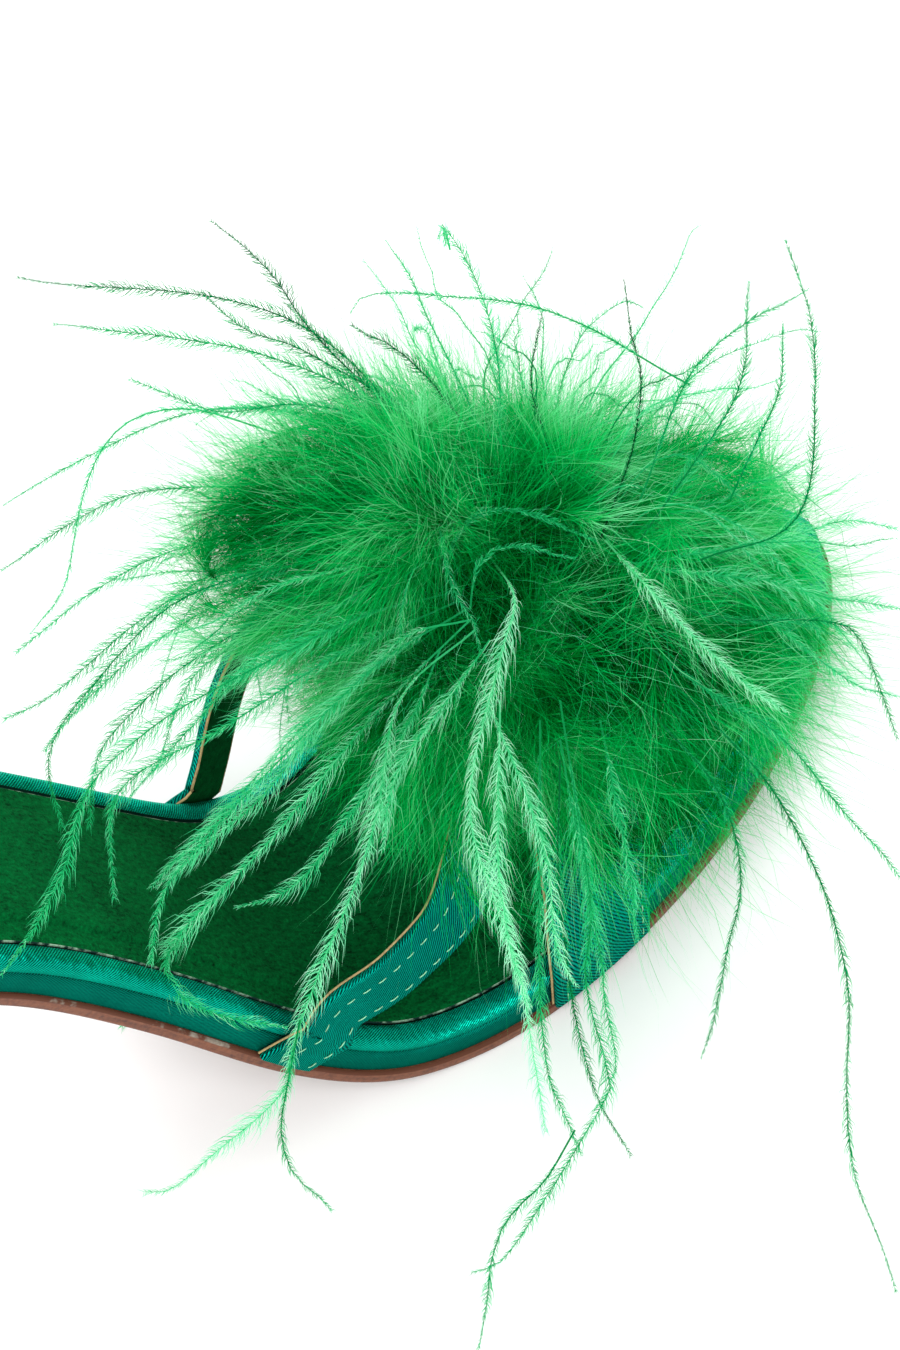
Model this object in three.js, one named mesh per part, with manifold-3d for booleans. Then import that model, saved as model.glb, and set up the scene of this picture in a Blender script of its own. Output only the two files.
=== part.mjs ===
// High-heeled sandal for the right foot: a satin-covered footbed on a thin leather outsole, a stiletto heel,
// two tapered straps that cross over the forefoot, and a large pompom of down with long feather strands.
// Millimetres. +X points to the toe, +Y to the wearer's left (the big-toe side), +Z up.
// The origin lies on the floor, in the middle of the flat of the tread.
import * as THREE from 'three';
import { mergeVertices } from 'three/addons/utils/BufferGeometryUtils.js';
import Module from 'manifold-3d';

const wasm = await Module();
wasm.setup();

// Driving sizes of the last
const TOE_REACH = 72.5;          // tread centre to toe tip, in plan
const HEEL_REACH = 147;          // tread centre to the back of the heel seat, in plan
const BALL_WIDTH = 71;           // widest lateral point to widest medial point
const TOE_SWING = 6;             // toe tip, towards the big-toe side
const TREAD_SKEW = 14;           // degrees by which the ball line runs back on the little-toe side
const TREAD_BACK = 9;            // flat of the tread behind the origin
const TREAD_FRONT = 10.5;        // flat of the tread before the origin
const TOE_SPRING = 4.4;          // lift of the toe tip off the floor
const SHANK_ANGLE = 52.4;        // steepest slope of the shank, degrees
const SEAT_ANGLE = 14;           // slope of the heel seat, degrees
const CURVE_RUN = 51.4;          // plan length over which the sole leaves the floor
const SHANK_RUN = 6.6;           // plan length of the steepest stretch
const SETTLE_RUN = 50;           // plan length over which the shank eases into the heel seat
const SEAT_LENGTH = 42;          // heel seat covered by the heel, in plan
const INSTEP_HEIGHT = 54;        // top of the foot above the footbed, at the instep

// Walls, steps and clearances
const CLEARANCE = 0.3;
const OUTSOLE_THICKNESS = 2.2;
const FOOTBED_THICKNESS = 6.5;
const WELT_LEDGE = 0.6;          // outsole standing out beyond the footbed wall
const RIM_WIDTH = 3.8;           // satin rim between the footbed wall and the sock
const RIM_ROLL = 2.6;            // rounding of the rim's outer edge
const SOCK_RECESS = 1.7;
const SOCK_THICKNESS = 1.2;
const SOCK_MARGIN = 4.2;         // flat border round the padded part of the sock
const SOCK_PADDING = 0.7;
const STRAP_WALL = 1.6;
const REAR_STRAP_WIDTH = 9;
const FRONT_STRAP_WIDTH = 20;

// Heel
const HEEL_TIP_THICKNESS = 5;
const HEEL_TIP_LENGTH = 10.5;
const HEEL_TIP_WIDTH = 10;
const HEEL_TIP_SETBACK = 17;     // heel tip centre, before the back of the seat
const HEEL_TAPER = 3.4;          // how quickly the heel slims below the seat

// Pompom and strands
const POMPOM_LENGTH = 76;
const POMPOM_WIDTH = 68;
const POMPOM_HEIGHT = 54;
const POMPOM_FORWARD = 14;       // pompom centre, before the origin
const POMPOM_SIDE = -10;         // pompom centre, towards the big-toe side
const POMPOM_RISE = -2;          // pompom centre above the straps' crossing
const TUFT_LENGTH = 46;          // smaller ball that stands out of the pompom, up and to the rear
const TUFT_WIDTH = 42;
const TUFT_HEIGHT = 32;
const TUFT_FORWARD = -6;
const TUFT_SIDE = 12;
const TUFT_RISE = 20;            // its centre above the straps' crossing
const LOCK_LENGTH = 8;
const STRAND_REACH = 100;
const STRAND_ROOT = 1.1;         // radius of a strand's vane near the knot
const STRAND_TIP = 0.6;
const KNOT_RADIUS = 4;
const KNOT_FORWARD = 12;         // knot centre, before the origin
const KNOT_SIDE = -5;
const KNOT_LIFT = 3.8;           // knot above the straps' clearance

const SOLE_THICKNESS = OUTSOLE_THICKNESS + CLEARANCE + FOOTBED_THICKNESS;
const SKEW = THREE.MathUtils.degToRad(TREAD_SKEW);
const STEEP = Math.tan(THREE.MathUtils.degToRad(SHANK_ANGLE));
const SEAT_SLOPE = Math.tan(THREE.MathUtils.degToRad(SEAT_ANGLE));

// Half widths of the sole. along: share of TOE_REACH before the origin, of HEEL_REACH behind it.
// lateral, medial: shares of BALL_WIDTH on the little-toe side and on the big-toe side.
const OUTLINE = [
  { along: -0.83, lateral: 0.345, medial: 0.340 },
  { along: -0.68, lateral: 0.332, medial: 0.285 },
  { along: -0.51, lateral: 0.360, medial: 0.212 },
  { along: -0.375, lateral: 0.425, medial: 0.217 },
  { along: -0.238, lateral: 0.490, medial: 0.286 },
  { along: -0.102, lateral: 0.522, medial: 0.368 },
  { along: 0.0, lateral: 0.522, medial: 0.446 },
  { along: 0.15, lateral: 0.522, medial: 0.478 },
  { along: 0.30, lateral: 0.522, medial: 0.478 },
];
// From its widest point each side runs round the toe as one superellipse quarter.
const TOE_CURVE = {
  lateral: { root: -0.102, lengthwise: 1.65, crosswise: 1.6 },
  medial: { root: 0.28, lengthwise: 2.0, crosswise: 1.75 },
};

// Top of the foot. height: share of INSTEP_HEIGHT above the footbed; lean: shift of the ridge to the
// big-toe side, as a share of BALL_WIDTH.
const LAST_TOP = [
  { along: -0.60, height: 1.10, lean: 0.07 },
  { along: -0.36, height: 1.05, lean: 0.08 },
  { along: -0.20, height: 1.00, lean: 0.09 },
  { along: 0.0, height: 0.84, lean: 0.07 },
  { along: 0.25, height: 0.66, lean: 0.05 },
  { along: 0.60, height: 0.48, lean: 0.02 },
  { along: 0.95, height: 0.34, lean: 0.0 },
];
const LAST_FULLNESS = 0.68;      // below 1 the sides of the foot stand steeper than an ellipse

// Course of the two straps over the foot. round: 0 at the footbed's top edge on the little-toe side, 1 at the
// big-toe side; along: the strap's middle; breadth: 0 for the narrow end, 1 for the wide one.
const STRAP_FROM_LATERAL_REAR = [
  { round: -0.07, along: -0.398, breadth: 0.1 },
  { round: -0.04, along: -0.390, breadth: 0.05 },
  { round: 0.0, along: -0.374, breadth: 0.0 },
  { round: 0.04, along: -0.349, breadth: 0.0 },
  { round: 0.098, along: -0.259, breadth: 0.02 },
  { round: 0.14, along: -0.176, breadth: 0.05 },
  { round: 0.18, along: -0.137, breadth: 0.1 },
  { round: 0.32, along: -0.04, breadth: 0.35 },
  { round: 0.5, along: 0.08, breadth: 0.6 },
  { round: 0.75, along: 0.23, breadth: 0.9 },
  { round: 1.0, along: 0.33, breadth: 1 },
  { round: 1.07, along: 0.34, breadth: 1 },
];
const STRAP_FROM_MEDIAL_REAR = [
  { round: -0.07, along: -0.018, breadth: 1 },
  { round: 0.0, along: -0.014, breadth: 1 },
  { round: 0.2, along: 0.02, breadth: 0.9 },
  { round: 0.36, along: 0.05, breadth: 0.7 },
  { round: 0.5, along: 0.04, breadth: 0.5 },
  { round: 0.70, along: -0.07, breadth: 0.2 },
  { round: 0.822, along: -0.190, breadth: 0.05 },
  { round: 0.89, along: -0.237, breadth: 0.0 },
  { round: 0.96, along: -0.275, breadth: 0.0 },
  { round: 1.0, along: -0.300, breadth: 0.0 },
  { round: 1.07, along: -0.330, breadth: 0.05 },
];

// Course of the long strands from the knot in the pompom, as shares of STRAND_REACH. forward, left, up: the
// tip; bendForward, bendLeft, bendUp: the point towards which the strand leaves the knot before it droops.
const STRANDS = [
  { bendForward: -0.09, bendLeft: 0.21, bendUp: 0.30, forward: -0.08, left: 0.68, up: 0.26 },
  { bendForward: 0.01, bendLeft: 0.36, bendUp: 0.35, forward: -0.37, left: 0.78, up: 0.26 },
  { bendForward: -0.02, bendLeft: 0.43, bendUp: 0.29, forward: -0.47, left: 0.79, up: -0.23 },
  { bendForward: -0.13, bendLeft: 0.30, bendUp: 0.26, forward: -0.55, left: 0.68, up: -0.22 },
  { bendForward: -0.17, bendLeft: 0.25, bendUp: 0.26, forward: -0.62, left: 0.52, up: -0.21 },
  { bendForward: -0.26, bendLeft: 0.14, bendUp: 0.27, forward: -0.69, left: 0.34, up: -0.21 },
  { bendForward: -0.46, bendLeft: 0.26, bendUp: 0.38, forward: -0.81, left: 0.05, up: 0.03 },
  { bendForward: -0.52, bendLeft: 0.06, bendUp: 0.34, forward: -1.06, left: -0.22, up: 0.17 },
  { bendForward: -0.42, bendLeft: 0.02, bendUp: 0.27, forward: -0.81, left: -0.08, up: -0.01 },
  { bendForward: -0.35, bendLeft: -0.07, bendUp: 0.24, forward: -0.82, left: -0.20, up: -0.04 },
  { bendForward: -0.41, bendLeft: -0.29, bendUp: 0.40, forward: -0.86, left: -0.23, up: -0.12 },
  { bendForward: -0.48, bendLeft: -0.38, bendUp: 0.18, forward: -0.95, left: -0.24, up: -0.48 },
  { bendForward: -0.23, bendLeft: -0.11, bendUp: 0.32, forward: -0.48, left: -0.67, up: -0.25 },
  { bendForward: -0.26, bendLeft: -0.19, bendUp: 0.19, forward: -0.35, left: -0.58, up: -0.12 },
  { bendForward: 0.07, bendLeft: -0.26, bendUp: 0.27, forward: 0.43, left: -0.36, up: -0.09 },
  { bendForward: 0.18, bendLeft: -0.32, bendUp: 0.22, forward: 0.28, left: -0.53, up: -0.11 },
  { bendForward: 0.04, bendLeft: -0.35, bendUp: 0.17, forward: 0.15, left: -0.69, up: -0.18 },
  { bendForward: 0.14, bendLeft: -0.62, bendUp: 0.10, forward: -0.16, left: -1.06, up: -0.53 },
  { bendForward: 0.07, bendLeft: -0.55, bendUp: 0.08, forward: -0.25, left: -0.73, up: -0.21 },
  { bendForward: -0.20, bendLeft: -0.69, bendUp: 0.13, forward: -0.65, left: -0.69, up: -0.44 },
  { bendForward: -0.30, bendLeft: -0.22, bendUp: 0.18, forward: -0.64, left: -0.13, up: -0.14 },
  { bendForward: -0.01, bendLeft: 0.02, bendUp: 0.23, forward: 0.17, left: 0.42, up: 0.26 },
  { bendForward: 0.12, bendLeft: -0.22, bendUp: 0.19, forward: 0.33, left: 0.18, up: 0.26 },
  { bendForward: 0.13, bendLeft: -0.31, bendUp: 0.24, forward: 0.47, left: 0.05, up: 0.26 },
  { bendForward: 0.22, bendLeft: -0.64, bendUp: 0.31, forward: 0.56, left: 0.09, up: 0.26 },
  { bendForward: 0.13, bendLeft: -0.12, bendUp: 0.27, forward: 0.54, left: -0.01, up: 0.26 },
  { bendForward: 0.04, bendLeft: 0.15, bendUp: 0.27, forward: 0.11, left: 0.48, up: 0.26 },
  { bendForward: -0.02, bendLeft: 0.21, bendUp: 0.30, forward: -0.17, left: 0.57, up: 0.26 },
  { bendForward: 0.25, bendLeft: -0.24, bendUp: 0.11, forward: 0.50, left: -0.24, up: -0.07 },
  { bendForward: 0.30, bendLeft: 0.30, bendUp: 0.22, forward: 0.52, left: 0.42, up: -0.16 },
  { bendForward: 0.10, bendLeft: 0.42, bendUp: 0.20, forward: 0.24, left: 0.66, up: -0.22 },
  { bendForward: -0.12, bendLeft: 0.42, bendUp: 0.22, forward: -0.16, left: 0.70, up: -0.18 },
  { bendForward: 0.42, bendLeft: 0.14, bendUp: 0.14, forward: 0.68, left: 0.18, up: -0.12 },
];

// Mesh resolution
const HEEL_STATIONS = 8;
const SEAT_STATIONS = 4;
const BODY_STATIONS = 24;
const TOE_STATIONS = 10;
const ACROSS = 4;

const smoothstep = THREE.MathUtils.smoothstep;

function stationX(along) {
  return along * (along < 0 ? HEEL_REACH : TOE_REACH);
}

// Monotone cubic through one column of a table, at a plan position along the shoe.
function columnAt(table, column, position, positionOf) {
  const xs = table.map(positionOf);
  const ys = table.map((row) => row[column]);
  const last = xs.length - 1;
  if (position <= xs[0]) return ys[0];
  if (position >= xs[last]) return ys[last];
  const i = xs.findIndex((x, k) => k < last && position < xs[k + 1]);
  const secant = (k) => (ys[k + 1] - ys[k]) / (xs[k + 1] - xs[k]);
  const tangent = (k) => {
    if (k === 0) return secant(0);
    if (k === last) return secant(last - 1);
    const before = secant(k - 1);
    const after = secant(k);
    return before * after <= 0 ? 0 : (2 * before * after) / (before + after);
  };
  const h = xs[i + 1] - xs[i];
  const t = (position - xs[i]) / h;
  const rise = (1 - t) * (1 - t) * t * h * tangent(i) - t * t * (1 - t) * h * tangent(i + 1);
  return ys[i] * (1 + 2 * t) * (1 - t) ** 2 + ys[i + 1] * t * t * (3 - 2 * t) + rise;
}

const alongShoe = (row) => stationX(row.along);

// Distance of the sole's edge from the shoe's middle plane.
function halfWidth(side, x) {
  const width = BALL_WIDTH * columnAt(OUTLINE, side, x, alongShoe);
  const { root, lengthwise, crosswise } = TOE_CURVE[side];
  const share = (x - stationX(root)) / (TOE_REACH - stationX(root));
  if (share <= 0) return width;
  const tip = side === 'medial' ? TOE_SWING : -TOE_SWING;
  return tip + (width - tip) * Math.max(1 - share ** lengthwise, 0) ** (1 / crosswise);
}

// The last
// Height of the underside at a distance behind the tread.
function shankHeight(behind) {
  const eased = (run, length) => {
    const u = THREE.MathUtils.clamp(run / length, 0, 1);
    return length * (u ** 3 - u ** 4 / 2) + Math.max(run - length, 0);
  };
  const settleStart = CURVE_RUN + SHANK_RUN;
  return STEEP * eased(behind, CURVE_RUN) - (STEEP - SEAT_SLOPE) * eased(behind - settleStart, SETTLE_RUN);
}

// Distance before the tread line, which is skewed at the ball and square at the heel.
function beforeTread(x, y) {
  const squareness = 0.75 * smoothstep(-x, 0.64 * HEEL_REACH, 0.92 * HEEL_REACH);
  return x * Math.cos(SKEW) - y * Math.sin(SKEW) * (1 - squareness);
}

function undersideZ(x, y) {
  const a = beforeTread(x, y);
  const spring = Math.max(a - TREAD_FRONT, 0) / (TOE_REACH - TREAD_FRONT);
  return shankHeight(-a - TREAD_BACK) + TOE_SPRING * spring ** 2;
}

// Point of a layer that lies a given thickness above the underside, measured square to the slope.
function soleP(x, y, thickness) {
  const step = 0.5;
  const slopeX = (undersideZ(x + step, y) - undersideZ(x - step, y)) / (2 * step);
  const slopeY = (undersideZ(x, y + step) - undersideZ(x, y - step)) / (2 * step);
  const normal = new THREE.Vector3(-slopeX, -slopeY, 1).normalize();
  return new THREE.Vector3(x, y, undersideZ(x, y)).addScaledVector(normal, thickness);
}

const BACK_X = stationX(OUTLINE[0].along);
const TOE_BOX_X = 0.55 * TOE_REACH;      // from here the stations crowd towards the toe tip
const BREAST_X = SEAT_LENGTH - HEEL_REACH;
const BREAST_STATION = HEEL_STATIONS + SEAT_STATIONS;
const STATIONS = BREAST_STATION + BODY_STATIONS + TOE_STATIONS;

function outlinePoint(side, j) {
  const sign = side === 'lateral' ? -1 : 1;
  if (j < HEEL_STATIONS) {
    const t = (j / HEEL_STATIONS) * (Math.PI / 2);
    const reach = HEEL_REACH + BACK_X;
    return new THREE.Vector2(BACK_X - reach * Math.cos(t), sign * halfWidth(side, BACK_X) * Math.sin(t));
  }
  if (j <= BREAST_STATION + BODY_STATIONS) {
    const x = j < BREAST_STATION
      ? THREE.MathUtils.lerp(BACK_X, BREAST_X, (j - HEEL_STATIONS) / SEAT_STATIONS)
      : THREE.MathUtils.lerp(BREAST_X, TOE_BOX_X, (j - BREAST_STATION) / BODY_STATIONS);
    return new THREE.Vector2(x, sign * halfWidth(side, x));
  }
  const t = ((j - BREAST_STATION - BODY_STATIONS) / TOE_STATIONS) * (Math.PI / 2);
  const x = TOE_BOX_X + (TOE_REACH - TOE_BOX_X) * Math.sin(t);
  return new THREE.Vector2(x, sign * halfWidth(side, x));
}

// Both sides of the sole's outline, moved inward by an inset.
function outline(inset) {
  const count = STATIONS + 1;
  const lateral = Array.from({ length: count }, (_, j) => outlinePoint('lateral', j));
  const medial = Array.from({ length: count }, (_, j) => outlinePoint('medial', j));
  const loop = [...lateral, ...medial.slice(1, -1).reverse()];
  const moved = loop.map((point, k) => {
    const before = loop[(k + loop.length - 1) % loop.length];
    const after = loop[(k + 1) % loop.length];
    const run = after.clone().sub(before).normalize();
    return new THREE.Vector2(point.x - run.y * inset, point.y + run.x * inset);
  });
  const back = moved[0];
  const tip = moved[STATIONS];
  return {
    lateral: moved.slice(0, count),
    medial: [back, ...moved.slice(count).reverse(), tip],
  };
}

// Meshes
// Closed mesh from loops of points: the first loop is capped below, the last above, each cap by its own rows.
class MeshBuilder {
  constructor() {
    this.positions = [];
    this.triangles = [];
  }

  point(p) {
    this.positions.push(p.x, p.y, p.z);
    return this.positions.length / 3 - 1;
  }

  quad(a, b, c, d) {
    this.triangles.push(a, b, c, a, c, d);
  }

  band(lower, upper, closed = true) {
    const count = closed ? lower.length : lower.length - 1;
    for (let k = 0; k < count; k += 1) {
      const next = (k + 1) % lower.length;
      this.quad(lower[k], lower[next], upper[next], upper[k]);
    }
  }

  grid(rows, flipped = false) {
    for (let j = 0; j + 1 < rows.length; j += 1) {
      for (let k = 0; k + 1 < rows[j].length; k += 1) {
        const corners = [rows[j][k], rows[j + 1][k], rows[j + 1][k + 1], rows[j][k + 1]];
        this.quad(...(flipped ? corners.reverse() : corners));
      }
    }
  }

  geometry() {
    const raw = new THREE.BufferGeometry();
    raw.setAttribute('position', new THREE.Float32BufferAttribute(this.positions, 3));
    raw.setIndex(this.triangles);
    return withoutSlivers(mergeVertices(raw, 1e-4));
  }
}

function withoutSlivers(geometry) {
  const index = geometry.index.array;
  const kept = [];
  for (let i = 0; i < index.length; i += 3) {
    const [a, b, c] = [index[i], index[i + 1], index[i + 2]];
    if (a !== b && b !== c && c !== a) kept.push(a, b, c);
  }
  geometry.setIndex(kept);
  return geometry;
}

function toManifold(geometry) {
  return new wasm.Manifold(new wasm.Mesh({
    numProp: 3,
    vertProperties: new Float32Array(geometry.attributes.position.array),
    triVerts: new Uint32Array(geometry.index.array),
  }));
}

function fromManifold(solid) {
  const mesh = solid.getMesh();
  const geometry = new THREE.BufferGeometry();
  geometry.setAttribute('position', new THREE.BufferAttribute(new Float32Array(mesh.vertProperties), 3));
  geometry.setIndex(new THREE.BufferAttribute(new Uint32Array(mesh.triVerts), 1));
  return geometry;
}

// Sole layers
// Grid of points across the shoe, station by station, at one inset and thickness.
function soleRows({ inset, thickness }, first, last) {
  const { lateral, medial } = outline(inset);
  const rows = [];
  for (let j = first; j <= last; j += 1) {
    const cut = j === first && first > 0 ? CLEARANCE : 0;
    rows.push(Array.from({ length: ACROSS + 1 }, (_, k) => {
      const p = lateral[j].clone().lerp(medial[j], k / ACROSS);
      return soleP(p.x + cut, p.y, thickness);
    }));
  }
  return rows;
}

function edgeOf(rows) {
  return [
    ...rows.map((row) => row[0]),
    ...rows[rows.length - 1].slice(1, -1),
    ...rows.map((row) => row[row.length - 1]).reverse(),
    ...rows[0].slice(1, -1).reverse(),
  ];
}

// Solid bounded by the shoe's outline between two stations. layers: inset and thickness of each loop, from the
// edge of the lower cap, round the wall, to the edge of the upper cap.
function soleSolid(layers, first = 0, last = STATIONS) {
  const mesh = new MeshBuilder();
  const all = layers.map((layer) => soleRows(layer, first, last).map((row) => row.map((p) => mesh.point(p))));
  mesh.grid(all[0], true);
  for (let i = 0; i + 1 < all.length; i += 1) mesh.band(edgeOf(all[i]), edgeOf(all[i + 1]));
  mesh.grid(all[all.length - 1]);
  return mesh.geometry();
}

function outsoleGeometry() {
  return soleSolid([{ inset: 0, thickness: 0 }, { inset: 0, thickness: OUTSOLE_THICKNESS }], BREAST_STATION);
}

const FOOTBED_BOTTOM = OUTSOLE_THICKNESS + CLEARANCE;
const SOCK_FLOOR = SOLE_THICKNESS - SOCK_RECESS;
const SOCK_INSET = WELT_LEDGE + RIM_WIDTH;

function footbedGeometry() {
  const lip = RIM_ROLL * 0.25;
  return soleSolid([
    { inset: WELT_LEDGE, thickness: FOOTBED_BOTTOM },
    { inset: WELT_LEDGE, thickness: SOLE_THICKNESS - RIM_ROLL },
    { inset: WELT_LEDGE + RIM_ROLL * 0.35, thickness: SOLE_THICKNESS - RIM_ROLL * 0.35 },
    { inset: SOCK_INSET - lip, thickness: SOLE_THICKNESS },
    { inset: SOCK_INSET, thickness: SOLE_THICKNESS - lip },
    { inset: SOCK_INSET, thickness: SOCK_FLOOR },
  ]);
}

function insoleGeometry() {
  const edge = SOCK_INSET + CLEARANCE;
  const base = SOCK_FLOOR + CLEARANCE;
  return soleSolid([
    { inset: edge, thickness: base },
    { inset: edge, thickness: base + SOCK_THICKNESS },
    { inset: edge + SOCK_MARGIN, thickness: base + SOCK_THICKNESS },
    { inset: edge + SOCK_MARGIN * 1.4, thickness: base + SOCK_THICKNESS + SOCK_PADDING },
  ]);
}

// Heel
const HEEL_TIP_X = HEEL_TIP_SETBACK - HEEL_REACH;
const HEEL_RINGS = 10;

// Outline of the heel's foot, in the direction of a point of the seat.
function heelFootPoint(p) {
  const seatCentreX = -HEEL_REACH + SEAT_LENGTH / 2;
  const angle = Math.atan2(p.y * SEAT_LENGTH / BALL_WIDTH * 1.4, p.x - seatCentreX);
  return new THREE.Vector2(
    HEEL_TIP_X + (HEEL_TIP_LENGTH / 2) * Math.cos(angle),
    (HEEL_TIP_WIDTH / 2) * Math.sin(angle));
}

function heelGeometry() {
  const mesh = new MeshBuilder();
  const top = soleRows({ inset: WELT_LEDGE, thickness: OUTSOLE_THICKNESS }, 0, BREAST_STATION);
  const topIds = top.map((row) => row.map((p) => mesh.point(p)));
  const rim = edgeOf(top);
  const footZ = HEEL_TIP_THICKNESS + CLEARANCE;
  let upper = edgeOf(topIds);
  mesh.grid(topIds);
  for (let i = 1; i <= HEEL_RINGS; i += 1) {
    const t = i / HEEL_RINGS;
    const spread = (1 - t) ** HEEL_TAPER;
    const lower = rim.map((p) => {
      const foot = heelFootPoint(p);
      return mesh.point(new THREE.Vector3(
        THREE.MathUtils.lerp(foot.x, p.x, spread),
        THREE.MathUtils.lerp(foot.y, p.y, spread),
        THREE.MathUtils.lerp(p.z, footZ, t)));
    });
    mesh.band(lower, upper);
    upper = lower;
  }
  capWithFan(mesh, upper, new THREE.Vector3(HEEL_TIP_X, 0, footZ));
  return mesh.geometry();
}

// Closes a loop seen from below by triangles from one middle point.
function capWithFan(mesh, loop, centre, facingUp = false) {
  const middle = mesh.point(centre);
  loop.forEach((id, k) => {
    const next = loop[(k + 1) % loop.length];
    mesh.triangles.push(...(facingUp ? [middle, id, next] : [middle, next, id]));
  });
}

function heelTipGeometry() {
  const shape = new THREE.Shape();
  shape.absellipse(0, 0, HEEL_TIP_LENGTH / 2, HEEL_TIP_WIDTH / 2, 0, Math.PI * 2);
  const geometry = new THREE.ExtrudeGeometry(shape, {
    depth: HEEL_TIP_THICKNESS, bevelEnabled: false, curveSegments: 16,
  });
  return geometry;
}

// Upper
// Point of the last's skin. round runs from the wall foot on the little-toe side, over the top, to the other.
const WALL_SHARE = 0.04;

function lastPoint(x, round) {
  const wallY = (side) => (side === 'lateral' ? -1 : 1) * (halfWidth(side, x) - WELT_LEDGE + CLEARANCE);
  if (round < 0 || round > 1) {
    const drop = (round < 0 ? -round : round - 1) / WALL_SHARE;
    const thickness = SOLE_THICKNESS - drop * FOOTBED_THICKNESS;
    return soleP(x, wallY(round < 0 ? 'lateral' : 'medial'), thickness);
  }
  const middle = (wallY('lateral') + wallY('medial')) / 2;
  const half = (wallY('medial') - wallY('lateral')) / 2;
  const angle = Math.PI * round;
  const lean = BALL_WIDTH * columnAt(LAST_TOP, 'lean', x, alongShoe);
  const height = INSTEP_HEIGHT * columnAt(LAST_TOP, 'height', x, alongShoe);
  const sideways = -Math.sign(Math.cos(angle)) * Math.abs(Math.cos(angle)) ** LAST_FULLNESS;
  const base = soleP(x, middle + half * sideways + lean * Math.sin(angle), SOLE_THICKNESS);
  return base.add(new THREE.Vector3(0, 0, height * Math.sin(angle)));
}

const ALONG_STEP = 0.5;
const ROUND_STEP = 0.004;

function lastTangents(x, round) {
  const along = lastPoint(x + ALONG_STEP, round).sub(lastPoint(x - ALONG_STEP, round));
  const around = lastPoint(x, round + ROUND_STEP).sub(lastPoint(x, round - ROUND_STEP));
  return { along: along.divideScalar(2 * ALONG_STEP), around: around.divideScalar(2 * ROUND_STEP) };
}

function lastNormal(x, round) {
  const { along, around } = lastTangents(x, round);
  return along.cross(around).normalize();
}

// Skin coordinates of a point that lies a given distance square to a strap's run, on either side.
function besideStrap(x, round, run, distance) {
  const side = lastNormal(x, round).cross(run).normalize().multiplyScalar(distance);
  const target = lastPoint(x, round).add(side);
  const skin = { x, round };
  for (let pass = 0; pass < 4; pass += 1) {
    const { along, around } = lastTangents(skin.x, skin.round);
    const rest = target.clone().sub(lastPoint(skin.x, skin.round));
    const [aa, ab, bb] = [along.dot(along), along.dot(around), around.dot(around)];
    const [ra, rb] = [rest.dot(along), rest.dot(around)];
    const det = aa * bb - ab * ab;
    skin.x += (ra * bb - rb * ab) / det;
    skin.round += (rb * aa - ra * ab) / det;
  }
  return skin;
}

const STRAP_STEPS = 26;
const STRAP_ACROSS = 4;

// Strap on the last's skin that follows its table, swollen by a margin on every face.
function strapGeometry(table, margin) {
  const mesh = new MeshBuilder();
  const byRound = (row) => row.round;
  const middleAt = (round) => stationX(columnAt(table, 'along', round, byRound));
  const innerRows = [];
  const outerRows = [];
  for (let i = 0; i <= STRAP_STEPS; i += 1) {
    const round = THREE.MathUtils.lerp(table[0].round, table[table.length - 1].round, i / STRAP_STEPS);
    const x = middleAt(round);
    const run = lastPoint(middleAt(round + ROUND_STEP), round + ROUND_STEP)
      .sub(lastPoint(middleAt(round - ROUND_STEP), round - ROUND_STEP));
    const breadth = columnAt(table, 'breadth', round, byRound);
    const half = THREE.MathUtils.lerp(REAR_STRAP_WIDTH, FRONT_STRAP_WIDTH, breadth) / 2 + margin;
    const row = Array.from({ length: STRAP_ACROSS + 1 }, (_, k) => {
      const skin = besideStrap(x, round, run, half * ((2 * k) / STRAP_ACROSS - 1));
      return { at: lastPoint(skin.x, skin.round), normal: lastNormal(skin.x, skin.round) };
    });
    innerRows.push(row.map(({ at, normal }) => mesh.point(at.clone().addScaledVector(normal, -margin))));
    outerRows.push(row.map(({ at, normal }) => mesh.point(at.addScaledVector(normal, STRAP_WALL + margin))));
  }
  mesh.grid(outerRows);
  mesh.band(edgeOf(innerRows), edgeOf(outerRows));
  mesh.grid(innerRows, true);
  return mesh.geometry();
}

// Everything below the straps' feet, which end just above the outsole.
function belowStrapFeet() {
  const reach = 4 * FOOTBED_THICKNESS;
  return soleSolid([
    { inset: -FOOTBED_THICKNESS, thickness: -reach },
    { inset: -FOOTBED_THICKNESS, thickness: FOOTBED_BOTTOM },
  ]);
}

// Both straps joined where they cross, swollen by a margin.
function strapsSolid(margin) {
  const first = toManifold(strapGeometry(STRAP_FROM_LATERAL_REAR, margin));
  return first.add(toManifold(strapGeometry(STRAP_FROM_MEDIAL_REAR, margin)));
}

function upperGeometry() {
  return fromManifold(strapsSolid(0).subtract(toManifold(belowStrapFeet())));
}

// Pompom
const BALL_LOCKS = { round: 16, up: 8 };
const TUFT_LOCKS = { round: 10, up: 5 };

const CROSSING_Z = lastPoint(KNOT_FORWARD, 0.5).z;
const BALL = {
  centre: new THREE.Vector3(POMPOM_FORWARD, POMPOM_SIDE, CROSSING_Z + POMPOM_RISE),
  size: new THREE.Vector3(POMPOM_LENGTH, POMPOM_WIDTH, POMPOM_HEIGHT),
};
const TUFT = {
  centre: new THREE.Vector3(TUFT_FORWARD, TUFT_SIDE, CROSSING_Z + TUFT_RISE),
  size: new THREE.Vector3(TUFT_LENGTH, TUFT_WIDTH, TUFT_HEIGHT),
};
const KNOT_Z = CROSSING_Z + STRAP_WALL + CLEARANCE + KNOT_LIFT + KNOT_RADIUS;
const KNOT_CENTRE = new THREE.Vector3(KNOT_FORWARD, KNOT_SIDE, KNOT_Z);

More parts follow.
